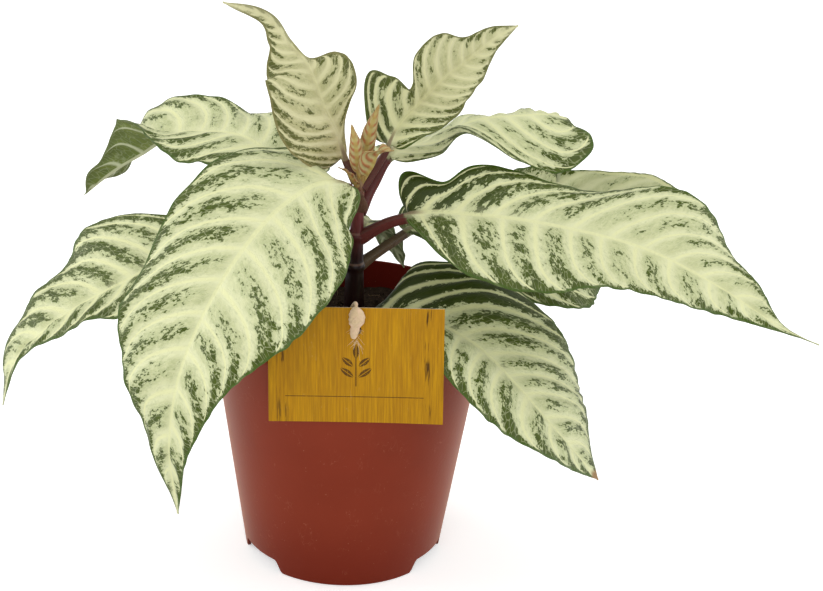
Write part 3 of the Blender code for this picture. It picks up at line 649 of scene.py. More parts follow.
# %% Stem: dark bark that turns wine red upwards
def make_bark_finish():
    """Drawn-out noise in maroon black and in wine red, blended by the height, and a ring at each node."""
    finish, tree, sockets = new_finish("stem bark", 0.34, Specular_IOR_Level=0.25)
    place = spot(tree, (STEM_X, 0, 0))
    height = node(tree, "SeparateXYZ", {0: place}).outputs[2]
    streak = noise(tree, place, 0.8, 3.0, 0.6, (1, 1, 9))
    low = blend(tree, streak, (0.006, 0.002, 0.002), (0.022, 0.006, 0.006))
    high = blend(tree, streak, (0.10, 0.016, 0.018), (0.24, 0.055, 0.05))
    rings = 0.0
    for z in STEM_NODES:
        ring = step(tree, calc(tree, "ABSOLUTE", weigh(tree, height, 1.0, -z - 1.6)), 0.7, 0.25)
        rings = calc(tree, "MAXIMUM", rings, ring)
    colour = coats(tree, blend(tree, step(tree, height, 134.0, 160.0), low, high),
                   (step(tree, height, STEM_TOP - 12, STEM_TOP), 1, (0.36, 0.26, 0.12)),
                   (rings, 0.35, (0.30, 0.17, 0.12)))
    tree.links.new(colour, sockets["Base Color"])
    relief(tree, sockets, streak, 0.12)
    return finish


make_stem(make_bark_finish())

# %% [markdown]
# ## Leaves
# Each leaf is one thin closed sheet. A flat leaf is thought of first: a place lies on the side vein that
# leaves the midrib at root, v times the half width out. The midrib then carries it through space: its
# halves are turned up by a lift and a curl, and the margin waves. On the real plant the blade stands up
# between the side veins like a quilt, so the sheet is pressed down along every vein. The same flat
# coordinates go onto the vertices, and the material draws veins and speckles from them.

# %% Leaves: the table of their forms
# petiole is the length without blade, and stalk its half width. back is how far the base lobes sweep back,
# and up is the way that the upper face looks. A wave of the margin has a height, a number along the blade
# and a phase. lobes add to a half's width: side (-1 left, 1 right), share of the blade, spread, millimetres.
# slopes turn the side veins of the left and right half forward. A station is a place on the midrib, then
# for the left and the right half, seen from the stem towards the tip: degrees of lift, degrees of curl and
# half width in millimetres.
LEAVES = {
    "leaf_front_left": dict(
        petiole=22, back=-0.4, left_wave=(0.8, 4, 0.0), right_wave=(1.5, 4.5, 0.35), stations=[
            ((2, 0, 159), (-5, -15, 30), (-5, -15, 30)), ((0, -8, 170), (-10, -15, 32), (-5, -15, 30)),
            ((-5, -15, 177), (-10, -15, 36), (-5, -15, 33)), ((-14, -21, 178), (-8, -15, 42), (4, -15, 49)),
            ((-28, -32, 172), (-3, -15, 49), (16, -15, 45.5)),
            ((-43, -50, 159), (0, -15, 48), (13, -15, 40.5)),
            ((-53, -63, 145), (5, -15, 38), (10, -15, 41)), ((-65, -80, 118), (5, -15, 27), (10, -15, 35)),
            ((-69, -84, 89), (10, -15, 23), (10, -15, 25)), ((-66, -80, 53), (15, -15, 20), (15, -15, 20))]),
    "leaf_low_left": dict(
        petiole=22, back=-0.5, left_wave=(1.5, 4, 0.0), right_wave=(1, 5, 0.05), lobes=((1, 0.26, 0.03, -9),),
        stations=[
            ((2, 0, 147), (10, -15, 28), (10, -15, 30)), ((-22, -1, 152), (10, -15, 30), (15, -15, 32)),
            ((-51, -7, 150), (10, -15, 32), (12, -15, 29)), ((-80, -14, 137), (8, -15, 32), (28, -15, 43)),
            ((-98, -20, 128), (8, -15, 27), (25, -15, 35.5)),
            ((-115, -25, 119), (10, -15, 22), (18, -15, 34.5)),
            ((-129, -30, 109), (10, -15, 16), (18, -15, 33)),
            ((-139.5, -33, 97), (5, -15, 14), (20, -15, 31)),
            ((-145, -35, 77), (0, -15, 15), (10, -15, 38))]),
    "leaf_upper_left": dict(
        petiole=20, back=-0.3, left_wave=(2, 4, 0.5), right_wave=(2, 4, 0.5), lobes=((-1, 0.92, 0.05, 2.0),),
        stations=[
            ((2, 0, 165), (0, -15, 28), (0, -15, 26)), ((-10, 8, 169), (0, -15, 30), (0, -15, 28)),
            ((-31, 20, 172), (0, -15, 30), (8, -15, 30)), ((-49, 34, 177), (0, -15, 28), (11, -15, 30)),
            ((-68, 46, 174), (2, -10, 24), (11, -15, 30)), ((-77, 52, 171), (8, 0, 21), (22, -15, 35)),
            ((-86, 57, 165), (46, 10, 27), (38, -15, 36)), ((-95, 60, 157), (76, 0, 26), (32, -10, 30)),
            ((-109, 61, 147), (95, 0, 21), (-20, 0, 26)), ((-122, 60, 136), (95, 0, 30), (-20, 0, 14))]),
    "leaf_top_left": dict(
        petiole=12, back=-0.5, stalk=1.6, left_wave=(1, 4, 0.0), right_wave=(1, 4, 0.0), up=(0.3, -1, 0.3),
        stations=[
            ((1.5, 0, 171), (30, -10, 22), (30, -10, 6)), ((-3, 3, 179), (30, -10, 23.5), (30, -10, 5)),
            ((-8, 2, 194), (30, -10, 28.5), (30, -10, 5.5)),
            ((-13, 2, 204), (30, -10, 24.5), (30, -10, 18)),
            ((-17, 4, 214), (30, -10, 21.5), (30, -10, 13.5)),
            ((-21, 8, 221), (30, -10, 17.5), (30, -10, 2.5)), ((-28, 12, 227), (30, -10, 11), (40, -10, 2)),
            ((-36, 16, 235.8), (30, -10, 7.5), (40, -10, 4)),
            ((-57, 20, 241.8), (30, -10, 9), (40, -10, 9))]),
    "leaf_top_right": dict(
        petiole=22, back=-0.45, stalk=1.6, left_wave=(0.6, 3, 0.0), right_wave=(1, 3, 0.0),
        up=(-0.3, -1, 0.3), lobes=((-1, 0.27, 0.046, -10.5), (-1, 0.142, 0.034, 8.5)), stations=[
            ((4, -1, 169), (30, -10, 10), (30, -10, 18)), ((12, 6, 180), (30, -10, 14), (30, -10, 18)),
            ((18, 13, 192), (35, -10, 22), (30, -10, 18)), ((28, 20, 202), (50, -10, 17), (30, -10, 18)),
            ((38, 24, 212), (30, -10, 17.5), (30, -10, 15.5)),
            ((48, 28, 219), (30, -10, 12), (30, -10, 12)), ((57, 32, 226), (30, -10, 13), (30, -10, 10)),
            ((67.5, 36, 231.5), (30, -10, 14), (30, -10, 10))]),
    "leaf_upper_right": dict(
        petiole=26, back=-0.4, stalk=2.9, left_wave=(2, 4, 0.0), right_wave=(2, 4, 0.0), stations=[
            ((2, 0, 160), (0, -10, 24), (0, -10, 22)), ((8, 9, 169), (0, -10, 24), (0, -10, 22)),
            ((15, 18, 179), (-10, -10, 26), (0, -10, 26)), ((26, 27, 179), (-20, -10, 28), (15, -10, 28)),
            ((39, 34, 183), (-20, -10, 28), (28, -10, 26)), ((51, 39, 187), (-16, -10, 24), (-8, -10, 32)),
            ((71, 46, 187.5), (-16, -10, 18), (-20, -10, 35)),
            ((82, 51, 186.5), (-10, -10, 18), (-15, -10, 18)), ((90, 57, 183), (-5, -10, 20), (15, -5, 7)),
            ((92, 60, 173), (-10, -10, 19), (50, 0, 9)), ((91, 62, 161), (-10, 0, 20), (50, 0, 12)),
            ((90, 63, 150), (-10, 0, 22), (50, 0, 14))]),
    "leaf_right": dict(
        petiole=25, back=-0.85, left_wave=(4.5, 2.9, -0.11), right_wave=(4, 1.85, 0.34), slopes=(0.85, 0.12),
        lobes=((-1, 0.045, 0.024, 5), (-1, 0.095, 0.03, -8)), stations=[
            ((2, 0, 147), (60, -15, 27), (10, -15, 14)), ((17, -2, 156), (52, -15, 28.5), (0, -15, 13)),
            ((30, -4, 160), (42, -15, 31.5), (-10, -15, 19)),
            ((53, -8, 162), (29, -15, 32), (-10, -15, 40)), ((91, -14, 160), (25, -15, 33), (-10, -15, 33)),
            ((127, -22, 154), (30, -15, 40.5), (-10, -15, 32.5)),
            ((156, -30, 142), (25, -15, 27.5), (0, -15, 23)),
            ((183, -38, 128), (20, -15, 12), (5, -15, 15)), ((197, -40, 123), (15, -15, 9), (10, -15, 12))]),
    "leaf_right_back": dict(
        petiole=31, back=-0.4, left_wave=(2, 4, 0.0), right_wave=(2, 4, 0.0), stations=[
            ((2, 0, 133), (10, -15, 12), (-10, -15, 14)), ((18, 16, 139), (20, -15, 14), (-10, -15, 15)),
            ((24, 22, 141), (20, -15, 20), (-15, -15, 16)), ((42, 36, 138), (18, -15, 32), (-25, -15, 33)),
            ((69, 52, 132), (20, -15, 34), (-28, -15, 44)), ((92, 64, 127), (32, 20, 29), (-28, -15, 30.5)),
            ((111, 74, 124), (50, 60, 36), (-30, -15, 27)), ((131, 84, 119), (68, 50, 40), (-20, -15, 30)),
            ((152, 92, 110), (74, 50, 46), (0, -15, 30)), ((164, 94, 94), (70, 50, 38), (0, -15, 30))]),
    "leaf_low_right": dict(
        petiole=10, back=-0.4, left_wave=(1.5, 3, 0.0), right_wave=(1, 3, 0.0), slopes=(0.75, 0.25),
        stations=[
            ((2, 0, 112), (15, -20, 34), (0, -20, 22)), ((11, -8, 115), (25, -20, 43), (0, -20, 24)),
            ((22, -14, 118), (30, -20, 47), (5, -20, 22)), ((35, -23, 119), (25, -20, 47), (8, -20, 26)),
            ((54, -34, 114), (18, -20, 41), (10, -20, 33)),
            ((73, -47, 101), (15, -20, 46), (10, -20, 32.5)), ((87, -54, 88), (10, -20, 49), (10, -20, 32)),
            ((108, -58, 65), (10, -20, 40), (10, -20, 30))]),
    "leaf_back": dict(
        petiole=10, back=-0.3, left_wave=(1, 4, 0.0), right_wave=(1, 4, 0.0), stations=[
            ((2, 0, 140), (10, -15, 12), (10, -15, 8)), ((5, 10, 148), (10, -15, 14), (10, -15, 8)),
            ((8, 18, 147), (10, -15, 16), (10, -15, 8)), ((12, 25, 140), (10, -15, 16), (10, -15, 9)),
            ((18, 30, 130), (10, -15, 14), (10, -15, 10)), ((23, 32, 119), (10, -15, 11), (10, -15, 10))]),
    "tip_leaf_tall": dict(
        petiole=4, back=0.0, stalk=0.8, left_wave=(0.4, 5, 0.0), right_wave=(0.4, 5, 0.5), up=(0, -1, 0.3),
        stations=[
            ((3, -1, 173), (30, 0, 2.4), (30, 0, 2.4)), ((2, -5, 181), (30, 0, 3.2), (30, 0, 3.2)),
            ((1, -6, 190), (30, 0, 3.2), (30, 0, 3.2)), ((-1, -5, 199), (30, 0, 3), (30, 0, 3))]),
    "tip_leaf_back": dict(
        petiole=4, back=0.0, stalk=0.8, left_wave=(0.4, 5, 0.0), right_wave=(0.4, 5, 0.5), up=(0, -1, 0.3),
        stations=[
            ((3, 1, 174), (30, 0, 2.4), (30, 0, 2.4)), ((5, 3, 184), (30, 0, 3.2), (30, 0, 3.2)),
            ((7, 4, 195), (30, 0, 3.2), (30, 0, 3.2)), ((10, 4, 205), (30, 0, 3), (30, 0, 3))]),
    "tip_leaf_curled": dict(
        petiole=5, back=0.0, stalk=0.8, left_wave=(0.6, 3, 0.0), right_wave=(0.6, 3, 0.0), stations=[
            ((3, 0, 172), (20, 10, 5), (20, 10, 5)), ((7, -4, 180), (20, 10, 7.5), (20, 10, 7.5)),
            ((11, -7, 188), (15, 10, 8), (20, 10, 7.5)), ((17, -9, 190), (10, 10, 6), (20, 10, 6))]),
    "tip_leaf_low": dict(
        petiole=4, back=0.0, stalk=0.7, left_wave=(0.5, 3, 0.0), right_wave=(0.5, 3, 0.5), stations=[
            ((3, 0, 169), (20, 0, 3), (20, 0, 3)), ((1, -4, 174), (20, 0, 3.4), (20, 0, 3.4)),
            ((-2, -5, 178), (20, 0, 3.4), (20, 0, 3.4)), ((-6, -5, 180), (20, 0, 3), (20, 0, 3))]),
}


# %% Leaves: the table of their looks
# Number of side veins of the left and right half; green at the base and tip of the left half, then of the
# right; youth at the base and tip; red of the stalk; olive of the underside; brown at the very tip.
LOOKS = {
    "leaf_front_left": ((11, 11), (0.03, 0.00), (0.06, 0.02), (0, 0), 0.5, 0.2, 0),
    "leaf_low_left": ((11, 11), (0.13, 0.13), (0.16, 0.13), (0, 0), 0.4, 0.3, 0),
    "leaf_upper_left": ((10, 11), (0.10, 0.05), (0.00, -0.05), (0, 0), 0.5, 0.9, 0),
    "leaf_top_left": ((15, 14), (0.02, -0.06), (-0.04, -0.02), (0.95, 0.5), 0.8, 0.4, 0),
    "leaf_top_right": ((12, 12), (0.26, -0.20), (0.04, -0.20), (0.0, 0.38), 0.9, 0.4, 0),
    "leaf_upper_right": ((11, 11), (0.00, -0.05), (-0.05, 0.00), (0.2, 0), 1.0, 0.6, 0),
    "leaf_right": ((12, 12), (0.34, -0.08), (0.20, -0.04), (0, 0), 0.9, 0.4, 0),
    "leaf_right_back": ((11, 11), (0.25, -0.30), (0.30, 0.05), (0, 0), 0.3, 0.3, 0),
    # leaf_low_right: its heavy green at the base is partly the leaf's own markings and partly painted shade
    # under leaf_right
    "leaf_low_right": ((10, 10), (0.50, 0.03), (0.38, 0.03), (0, 0), 0.5, 0.5, 1),
    "leaf_back": ((7, 7), (0.30, 0.10), (0.30, 0.10), (0, 0), 0.3, 0.3, 0),
    "tip_leaf_tall": ((7, 7), (0, 0), (0, 0), (1, 1), 0.9, 0.1, 0),
    "tip_leaf_back": ((7, 7), (0, 0), (0, 0), (1, 1), 0.9, 0.1, 0),
    "tip_leaf_curled": ((6, 6), (0, 0), (0, 0), (1, 1), 0.9, 0.1, 0),
    "tip_leaf_low": ((6, 6), (0, 0), (0, 0), (1, 1), 0.9, 0.1, 0),
}
print(len(LEAVES), "leaves in the table")

# %% Leaves: outline, midrib and stalk
# The powers that shape the blade's base and its point
BASE, POINT = 0.5, 1.0
# The stalk's half width in millimetres, the share of it that is lost on the way to the tip, the rib's least
# half width, and the share of the leaf over which that narrows at the tip
STALK, STALK_TAPER, RIB_LEAST, RIB_END = 2.0, 0.75, 0.8, 0.06
# The flare at the stem, as a share of the stalk, and how far it reaches
STALK_FLARE, FLARE_REACH = 0.3, 7.0


def fullness(t):
    """Half width along the blade, 1 at its widest: t to the power BASE times (1 - t) to the power POINT,
    over the largest value that this takes."""
    top = BASE/(BASE + POINT)
    t = np.clip(t, 0, 1)
    return (t**BASE)*((1 - t)**POINT)/(top**BASE*(1 - top)**POINT)


def leaf_line(leaf):
    """The stations as rows, their distance along the midrib, and the way that the upper face looks."""
    rows = np.array([sum(station, ()) for station in leaf["stations"]], float)
    places = rows[:, :3]
    rough = np.concatenate([[0], np.cumsum(np.linalg.norm(np.diff(places, axis=0), axis=1))])
    fine = np.linspace(0, rough[-1], 400)
    steps = np.linalg.norm(np.diff(through(places, rough, fine), axis=0), axis=1)
    knots = np.interp(rough, fine, np.concatenate([[0], np.cumsum(steps)]))
    chord = unit(places[-1] - places[0])
    upward = np.array(leaf.get("up", (0, 0, 1.0)), float)
    return rows, knots, unit(upward - (upward@chord)*chord)


def stalk_width(leaf, root, total):
    """Half width of the stalk and rib: it tapers towards the tip, and flares where it joins the stem."""
    stalk = leaf.get("stalk", STALK)
    flare = STALK_FLARE*stalk*np.exp(-(root/FLARE_REACH)**2)
    ends = np.clip((total - root)/(RIB_END*total), 0, 1)
    return np.maximum(stalk*(1 - STALK_TAPER*root/total), RIB_LEAST*(0.25 + 0.75*ends)) + flare


def vein_phase(share, count, seed):
    """Counts the side veins along the blade: whole numbers are veins. The gaps are a little uneven."""
    uneven = 0.012*count*np.sin(2*math.pi*(share*1.7 + seed/3)) + 0.10*ripple(share*count, seed, 3, 3.0)
    return count*share + 0.5 + uneven


# %% Leaves: a place on the flat leaf
# A place lies further along than its root by a share of its way out: at the base that is the leaf's own
# back, and FORE from LOBE_SHARE of the blade on
FORE, LOBE_SHARE = 0.55, 0.3
# How much a side vein slopes forward, and how it bows and arches towards the margin in gaps between veins
VEIN_SLOPE, VEIN_BOW, VEIN_ARCH = 0.50, 0.35, 0.75


def flat_leaf(leaf, look, seed, root, v):
    """Measures of the flat leaf: a point on the side vein that leaves the midrib at root lies v times the
    half width out, and a sweep of that width further on. The half width is the stations' times fullness,
    plus a bell at each lobe. A place's phase counts the side veins back along their own slope and arch."""
    rows, knots, _ = leaf_line(leaf)
    total = knots[-1]
    length = total - leaf["petiole"]
    t = np.clip((root - leaf["petiole"])/length, 0, 1)
    side, left = np.abs(v), v < 0
    stalk = stalk_width(leaf, root, total)
    wide = through(rows[:, [5, 8]], knots, root)
    wide = np.where(left, wide[..., 0], wide[..., 1])*fullness(t)
    for way, place, spread, extra in leaf.get("lobes", ()):
        wide = wide + np.where(left == (way < 0), extra*np.exp(-((t - place)/spread)**2), 0)
    wide = np.maximum(wide, stalk)
    wide = wide*(1 + 0.012*ripple(root, seed*3 + 1, 5, 7.0)*np.clip(8*t, 0, 1))
    across = side*wide
    sweep = leaf["back"] + (FORE - leaf["back"])*np.clip(t/LOBE_SHARE, 0, 1)**0.7
    along = np.minimum(root + sweep*(across - side*stalk)*side**0.3, total)
    gap = length/np.where(left, look[0][0], look[0][1])
    slope = np.where(left, *leaf.get("slopes", (VEIN_SLOPE, VEIN_SLOPE)))
    vein_root = along - slope*(across - side*stalk)*side**0.3 - gap*(VEIN_BOW*side**2 + VEIN_ARCH*side**6)
    share = (vein_root - leaf["petiole"])/length
    phases = [vein_phase(share, count, 3*seed + k) for k, count in enumerate(look[0])]
    return dict(root=root, t=t, v=v, side=side, left=left, stalk=stalk, wide=wide, across=across,
                along=along, gap=gap, phases=phases)


# %% Leaves: waves of the margin, and the quilt
# The quilt's height as a share of the gap between two veins, its least and its most in millimetres, and
# half the width of the valley along a vein as a share of the gap
QUILT_SHARE, QUILT_LEAST, QUILT_MOST, QUILT_WIDTH = 0.11, 0.25, 1.25, 0.24


def margin_wave(leaf, seed, at):
    """Each half's own sine and a small ripple, growing with the square of the way out to the margin."""
    t, left = at["t"], at["left"]
    (high_l, count_l, phase_l), (high_r, count_r, phase_r) = leaf["left_wave"], leaf["right_wave"]
    long_wave = np.where(left, high_l*np.sin(2*np.pi*(count_l*t + phase_l)),
                         high_r*np.sin(2*np.pi*(count_r*t + phase_r)))
    small_wave = 0.5*np.where(left, ripple(at["root"], seed*3 + 2, 3, 11.0),
                              ripple(at["root"], seed*3 + 3, 3, 11.0))
    return at["side"]**2*(long_wave + small_wave)*np.clip(6*t, 0, 1)*np.clip(2.5*(1 - t), 0, 1)


def quilt(at):
    """1 minus a bell round every side vein, times a height that grows with the gap between the veins. It
    fades out at the midrib, at the margin and at both ends."""
    t, side, gap = at["t"], at["side"], at["gap"]
    phase = np.where(at["left"], *at["phases"])
    off_vein = np.abs(phase - np.round(phase))*gap*0.8
    high = np.clip(QUILT_SHARE*gap, QUILT_LEAST, QUILT_MOST)
    pillow = high*(1 - np.exp(-(off_vein/(QUILT_WIDTH*gap))**2))
    pillow = pillow*np.clip(5*side, 0, 1)*np.clip(4*(1 - side), 0, 1)
    return pillow*np.clip(8*t, 0, 1)*np.clip(5*(1 - t), 0, 1)*np.clip(at["across"]/at["stalk"] - 1, 0, 1)


# %% Leaves: the sheet in space
# Thickness of the blade at the midrib and at the margin. The halves take their full lift where the half
# width is LIFT_FROM over that of the stalk.
BLADE_MIDDLE, BLADE_MARGIN, LIFT_FROM = 0.5, 0.22, 8.0
# The shares of the blade over which its green and its youth change, the millimetres in which the stalk's
# colour ends, and how far apart two leaves lie in the noise
GREEN_FADE, YOUTH_FADE, STALK_FADE, PATTERN_STEP = 0.55, 0.3, 10.0, 23.0


def leaf_sheet(leaf, look, seed, root, v):
    """Places on the upper and lower face, and the values that the materials read.

    The midrib carries the flat leaf: each half is turned up by its lift and by half its curl so far, and
    stands off along the face's own normal by the margin's wave and the quilt. The lower face lies below by
    the blade's thickness, or by the round of the stalk and rib."""
    rows, knots, upward = leaf_line(leaf)
    at = flat_leaf(leaf, look, seed, root, v)
    t, side, left = at["t"], at["side"], at["left"]
    stalk, across, along = at["stalk"], at["across"], at["along"]
    middle = through(rows[:, :3], knots, along)
    tangent = unit(through(rows[:, :3], knots, along + 0.5) - through(rows[:, :3], knots, along - 0.5))
    right = unit(np.cross(tangent, upward))
    normal = np.cross(right, tangent)
    bend = through(rows[:, [3, 4, 6, 7]], knots, along)
    opened = np.clip((at["wide"] - stalk)/LIFT_FROM, 0, 1)
    lift_left = np.radians(bend[..., 0]*opened)[..., None]
    lift_right = np.radians(bend[..., 2]*opened)[..., None]
    half_turn = np.where(left, bend[..., 1], bend[..., 3])*opened*side/2
    angle = np.where(left[..., None], lift_left, lift_right) + np.radians(half_turn)[..., None]
    outward = np.where(left[..., None], -right, right)
    reach = outward*np.cos(angle) + normal*np.sin(angle)
    lean_side = normal*np.cos(angle) - outward*np.sin(angle)
    lean_rib = unit(normal*(np.cos(lift_left) + np.cos(lift_right))
                    + right*(np.sin(lift_left) - np.sin(lift_right)))
    off_rib = np.clip(across/stalk, 0, 1)[..., None]
    lean = unit(lean_side*off_rib + lean_rib*(1 - off_rib))
    chord = across*np.sinc(half_turn/180)
    upper = middle + reach*chord[..., None] + lean*(margin_wave(leaf, seed, at) + quilt(at))[..., None]
    round_part = np.sqrt(np.clip(1 - (across/stalk)**2, 0, 1))
    blade = BLADE_MIDDLE + (BLADE_MARGIN - BLADE_MIDDLE)*side**2
    depth = np.maximum(blade, 2*stalk*round_part*np.clip(1.6 - 1.6*t, 0, 1))
    rise = 0.6*stalk*round_part*np.clip(1 - 8*t, 0, 1)
    return upper + lean*rise[..., None], upper - lean*depth[..., None], leaf_values(leaf, look, seed, at)


def leaf_values(leaf, look, seed, at):
    """What the materials read: flat coordinates, vein counts, distances, and the tones of this leaf."""
    dark_left, dark_right, youth, red, olive, brown = look[1:]
    left, t = at["left"], at["t"]
    fade = np.clip(t/GREEN_FADE, 0, 1)
    fade = fade*fade*(3 - 2*fade)
    dark = np.where(left, dark_left[0] + (dark_left[1] - dark_left[0])*fade,
                    dark_right[0] + (dark_right[1] - dark_right[0])*fade)
    young = youth[0] + (youth[1] - youth[0])*np.clip(t/YOUTH_FADE, 0, 1)
    ones = np.ones_like(t)
    grown = np.clip((at["root"] - leaf["petiole"])/STALK_FADE, -1, 1)
    return {
        "flat": np.stack([at["along"] - 0.5*at["across"], at["v"]*at["wide"],
                          ones*seed*PATTERN_STEP], axis=-1),
        "veins": np.stack([at["phases"][0], at["phases"][1], at["v"]], axis=-1),
        "form": np.stack([at["wide"]*(1 - np.abs(at["v"])), at["stalk"], at["gap"]*ones], axis=-1),
        "tone": np.stack([dark, young, ones*red], axis=-1),
        "growth": np.stack([grown, t*brown, ones*olive], axis=-1),
    }


# %% Leaves: closing the sheet
PETIOLE_ROWS = 20


def closed_sheet(name, upper, lower, values, finishes):
    """Upper grid, lower grid and the band round the margin, as one closed mesh."""
    rows, cols = upper.shape[:2]
    lift = rows*cols
    top = grid_quads(rows, cols)
    under = lift + top[:, ::-1]
    ring = np.concatenate([np.arange(cols), np.arange(1, rows)*cols + cols - 1,
                           (rows - 1)*cols + np.arange(cols - 2, -1, -1), np.arange(rows - 2, 0, -1)*cols])
    after = np.roll(ring, -1)
    band = np.stack([ring, lift + ring, lift + after, after], axis=-1)
    places = np.concatenate([upper.reshape(-1, 3), lower.reshape(-1, 3)])
    both = {key: np.concatenate([value.reshape(-1, 3)]*2) for key, value in values.items()}
    made = piece(name, places, [top, under, band], finishes, both, (0, 1, 0))
    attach(made, "root")
    return made


def leaf_places(leaf, rows, cols):
    """Rows run from the stem to the tip, closer near the blade's base; columns are closer at the midrib."""
    knots = leaf_line(leaf)[1]
    total, petiole = knots[-1], leaf["petiole"]
    blade = petiole + (total - petiole)*np.linspace(0, 1, rows)**1.25*0.999
    root = np.concatenate([np.linspace(0, petiole, PETIOLE_ROWS)[:-1], blade])
    s = np.linspace(-1, 1, cols)
    v = np.sign(s)*np.abs(s)**1.4
    return np.broadcast_arrays(root[:, None], v[None, :])


# %% [markdown]
# ## Leaf markings
# The pale wash follows the veins and the green stays between them, broken into ragged specks by the
# finest veins. The group below scores every place: high between the side veins, low beside them, and
# roughened by noise at three sizes. Where the score passes a limit the leaf is dark. Because it reads
# the flat leaf's own coordinates, the pattern bends and curls with the blade.

# %% Node group: leaf markings
def make_markings_group():
    """Vein is 1 on a side vein, and Pale beside it; Dark and Halo are the score past a high and a low limit;
    Margin is 1 at the edge; Fine is the net of the smallest veins, and Height their relief."""
    tree, given, out = new_group(
        "leaf markings", ["Place", "Phase", "Side", "Margin distance", "Gap", "Tone"],
        ["Vein", "Pale", "Dark", "Halo", "Margin", "Fine", "Height"])
    place = given["Place"]
    nearest = calc(tree, "PINGPONG", given["Phase"], 0.5)
    wobble = weigh(tree, noise(tree, place, 3.0, 3.0, 0.6, (1, 1.5, 1)), 1.0, -0.5)
    patch = weigh(tree, noise(tree, place, 14.0, 1.0, 0.5, (1, 1.4, 1)), 1.0, -0.5)
    blob = weigh(tree, noise(tree, place, 2.6, 2.0, 0.6, (1, 1.7, 1)), 1.0, -0.5)
    grain = weigh(tree, noise(tree, place, 0.8, 3.0, 0.65, (1, 1.4, 1)), 1.0, -0.5)
    vein_mm = calc(tree, "MULTIPLY", nearest, given["Gap"])
    vein_edge = calc(tree, "ADD", vein_mm, weigh(tree, wobble, 0.45))
    vein_edge = calc(tree, "ADD", vein_edge, weigh(tree, grain, 0.5))
    thick = calc(tree, "ADD", weigh(tree, given["Side"], -0.50, 1.0), weigh(tree, given["Tone"], 1.8))
    vein = step(tree, calc(tree, "DIVIDE", vein_edge, thick), 1.65, 0.30)
    between = calc(tree, "ADD", nearest, weigh(tree, wobble, 0.35))
    pale = step(tree, between, 0.30, 0.06)
    band = step(tree, between, 0.10, 0.40)
    shift = node(tree, "TexNoise", {"Vector": place, "Scale": 0.5}).outputs[1]
    bent = node(tree, "VectorMath", {0: place, 1: shift}, operation="ADD").outputs[0]
    narrow = node(tree, "VectorMath", {0: bent, 1: (0.52, 0.26, 0.4)}, operation="MULTIPLY").outputs[0]
    cells = node(tree, "TexVoronoi", {"Vector": narrow, "Scale": 1.0}, feature="DISTANCE_TO_EDGE").outputs[0]
    fine = step(tree, cells, 0.085, 0.0)
    outer = step(tree, given["Side"], 0.35, 1.0)
    inner = step(tree, given["Side"], 0.34, 0.04)
    fringe = step(tree, given["Margin distance"], 4.5, 0.5)
    score = weigh(tree, given["Tone"], 1.6, -0.58)
    for part, weight in ((band, 0.55), (blob, 2.1), (grain, 1.5), (patch, 0.8), (outer, 0.20),
                         (fringe, 0.45), (inner, -0.38)):
        score = calc(tree, "ADD", score, weigh(tree, part, weight))
    solid = step(tree, given["Tone"], 0.35, 0.05)
    cut = calc(tree, "SUBTRACT", 1.0, calc(tree, "MULTIPLY", weigh(tree, fine, 0.4), solid))
    faint = calc(tree, "MULTIPLY", weigh(tree, step(tree, given["Side"], 0.55, 0.10), 0.38),
                 weigh(tree, solid, -1.0, 1.0))
    faint = calc(tree, "MULTIPLY", faint, step(tree, given["Tone"], 0.25, 0.05))
    dark = calc(tree, "MULTIPLY", step(tree, score, 0.0, 0.09), cut)
    dark = calc(tree, "MULTIPLY", dark, weigh(tree, faint, -1.0, 1.0))
    dark = calc(tree, "MULTIPLY", dark, weigh(tree, vein, -1.0, 1.0))
    halo = step(tree, score, -0.75, 0.10)
    edge = calc(tree, "ADD", given["Margin distance"], weigh(tree, wobble, 1.6))
    margin = step(tree, calc(tree, "SUBTRACT", edge, weigh(tree, given["Tone"], 1.2)), 1.15, 0.55)
    height = calc(tree, "ADD", weigh(tree, fine, -0.35, 0.6), weigh(tree, grain, 0.4))
    for key, value in (("Vein", vein), ("Pale", pale), ("Dark", dark), ("Halo", halo), ("Margin", margin),
                       ("Fine", fine), ("Height", height)):
        tree.links.new(value, out[key])
    return tree


MARKINGS = make_markings_group()
print("group", MARKINGS.name)


def read_leaf(tree):
    """The leaf's own values, and its markings on whichever half the place lies."""
    flat, _, across, _ = vector_value(tree, "flat")
    _, phase_left, phase_right, v = vector_value(tree, "veins")
    _, from_margin, rib, gap = vector_value(tree, "form")
    _, dark, young, red = vector_value(tree, "tone")
    _, blade, tip, olive = vector_value(tree, "growth")
    on_right = calc(tree, "GREATER_THAN", v, 0.0)
    phase = node(tree, "Mix", {0: on_right, 2: phase_left, 3: phase_right}, data_type="FLOAT").outputs[0]
    marks = use_group(tree, MARKINGS, Place=flat, Phase=phase, Side=calc(tree, "ABSOLUTE", v),
                      Margin_distance=from_margin, Gap=gap, Tone=dark)
    from_rib = calc(tree, "DIVIDE", calc(tree, "ABSOLUTE", across), rib)
    return dict(flat=flat, marks=marks, rib=from_rib, dark=dark, young=young, red=red, blade=blade, tip=tip,
                olive=olive)


# %% [markdown]
# ## Leaf finishes
# The same markings look different on each face: on top they are crisp and waxy, below they show through
# a matt grey-green, and the newest leaves are still straw with red veins. So all three finishes read
# one group and give its masks their own colours. The petiole's wine red runs out along the midrib.

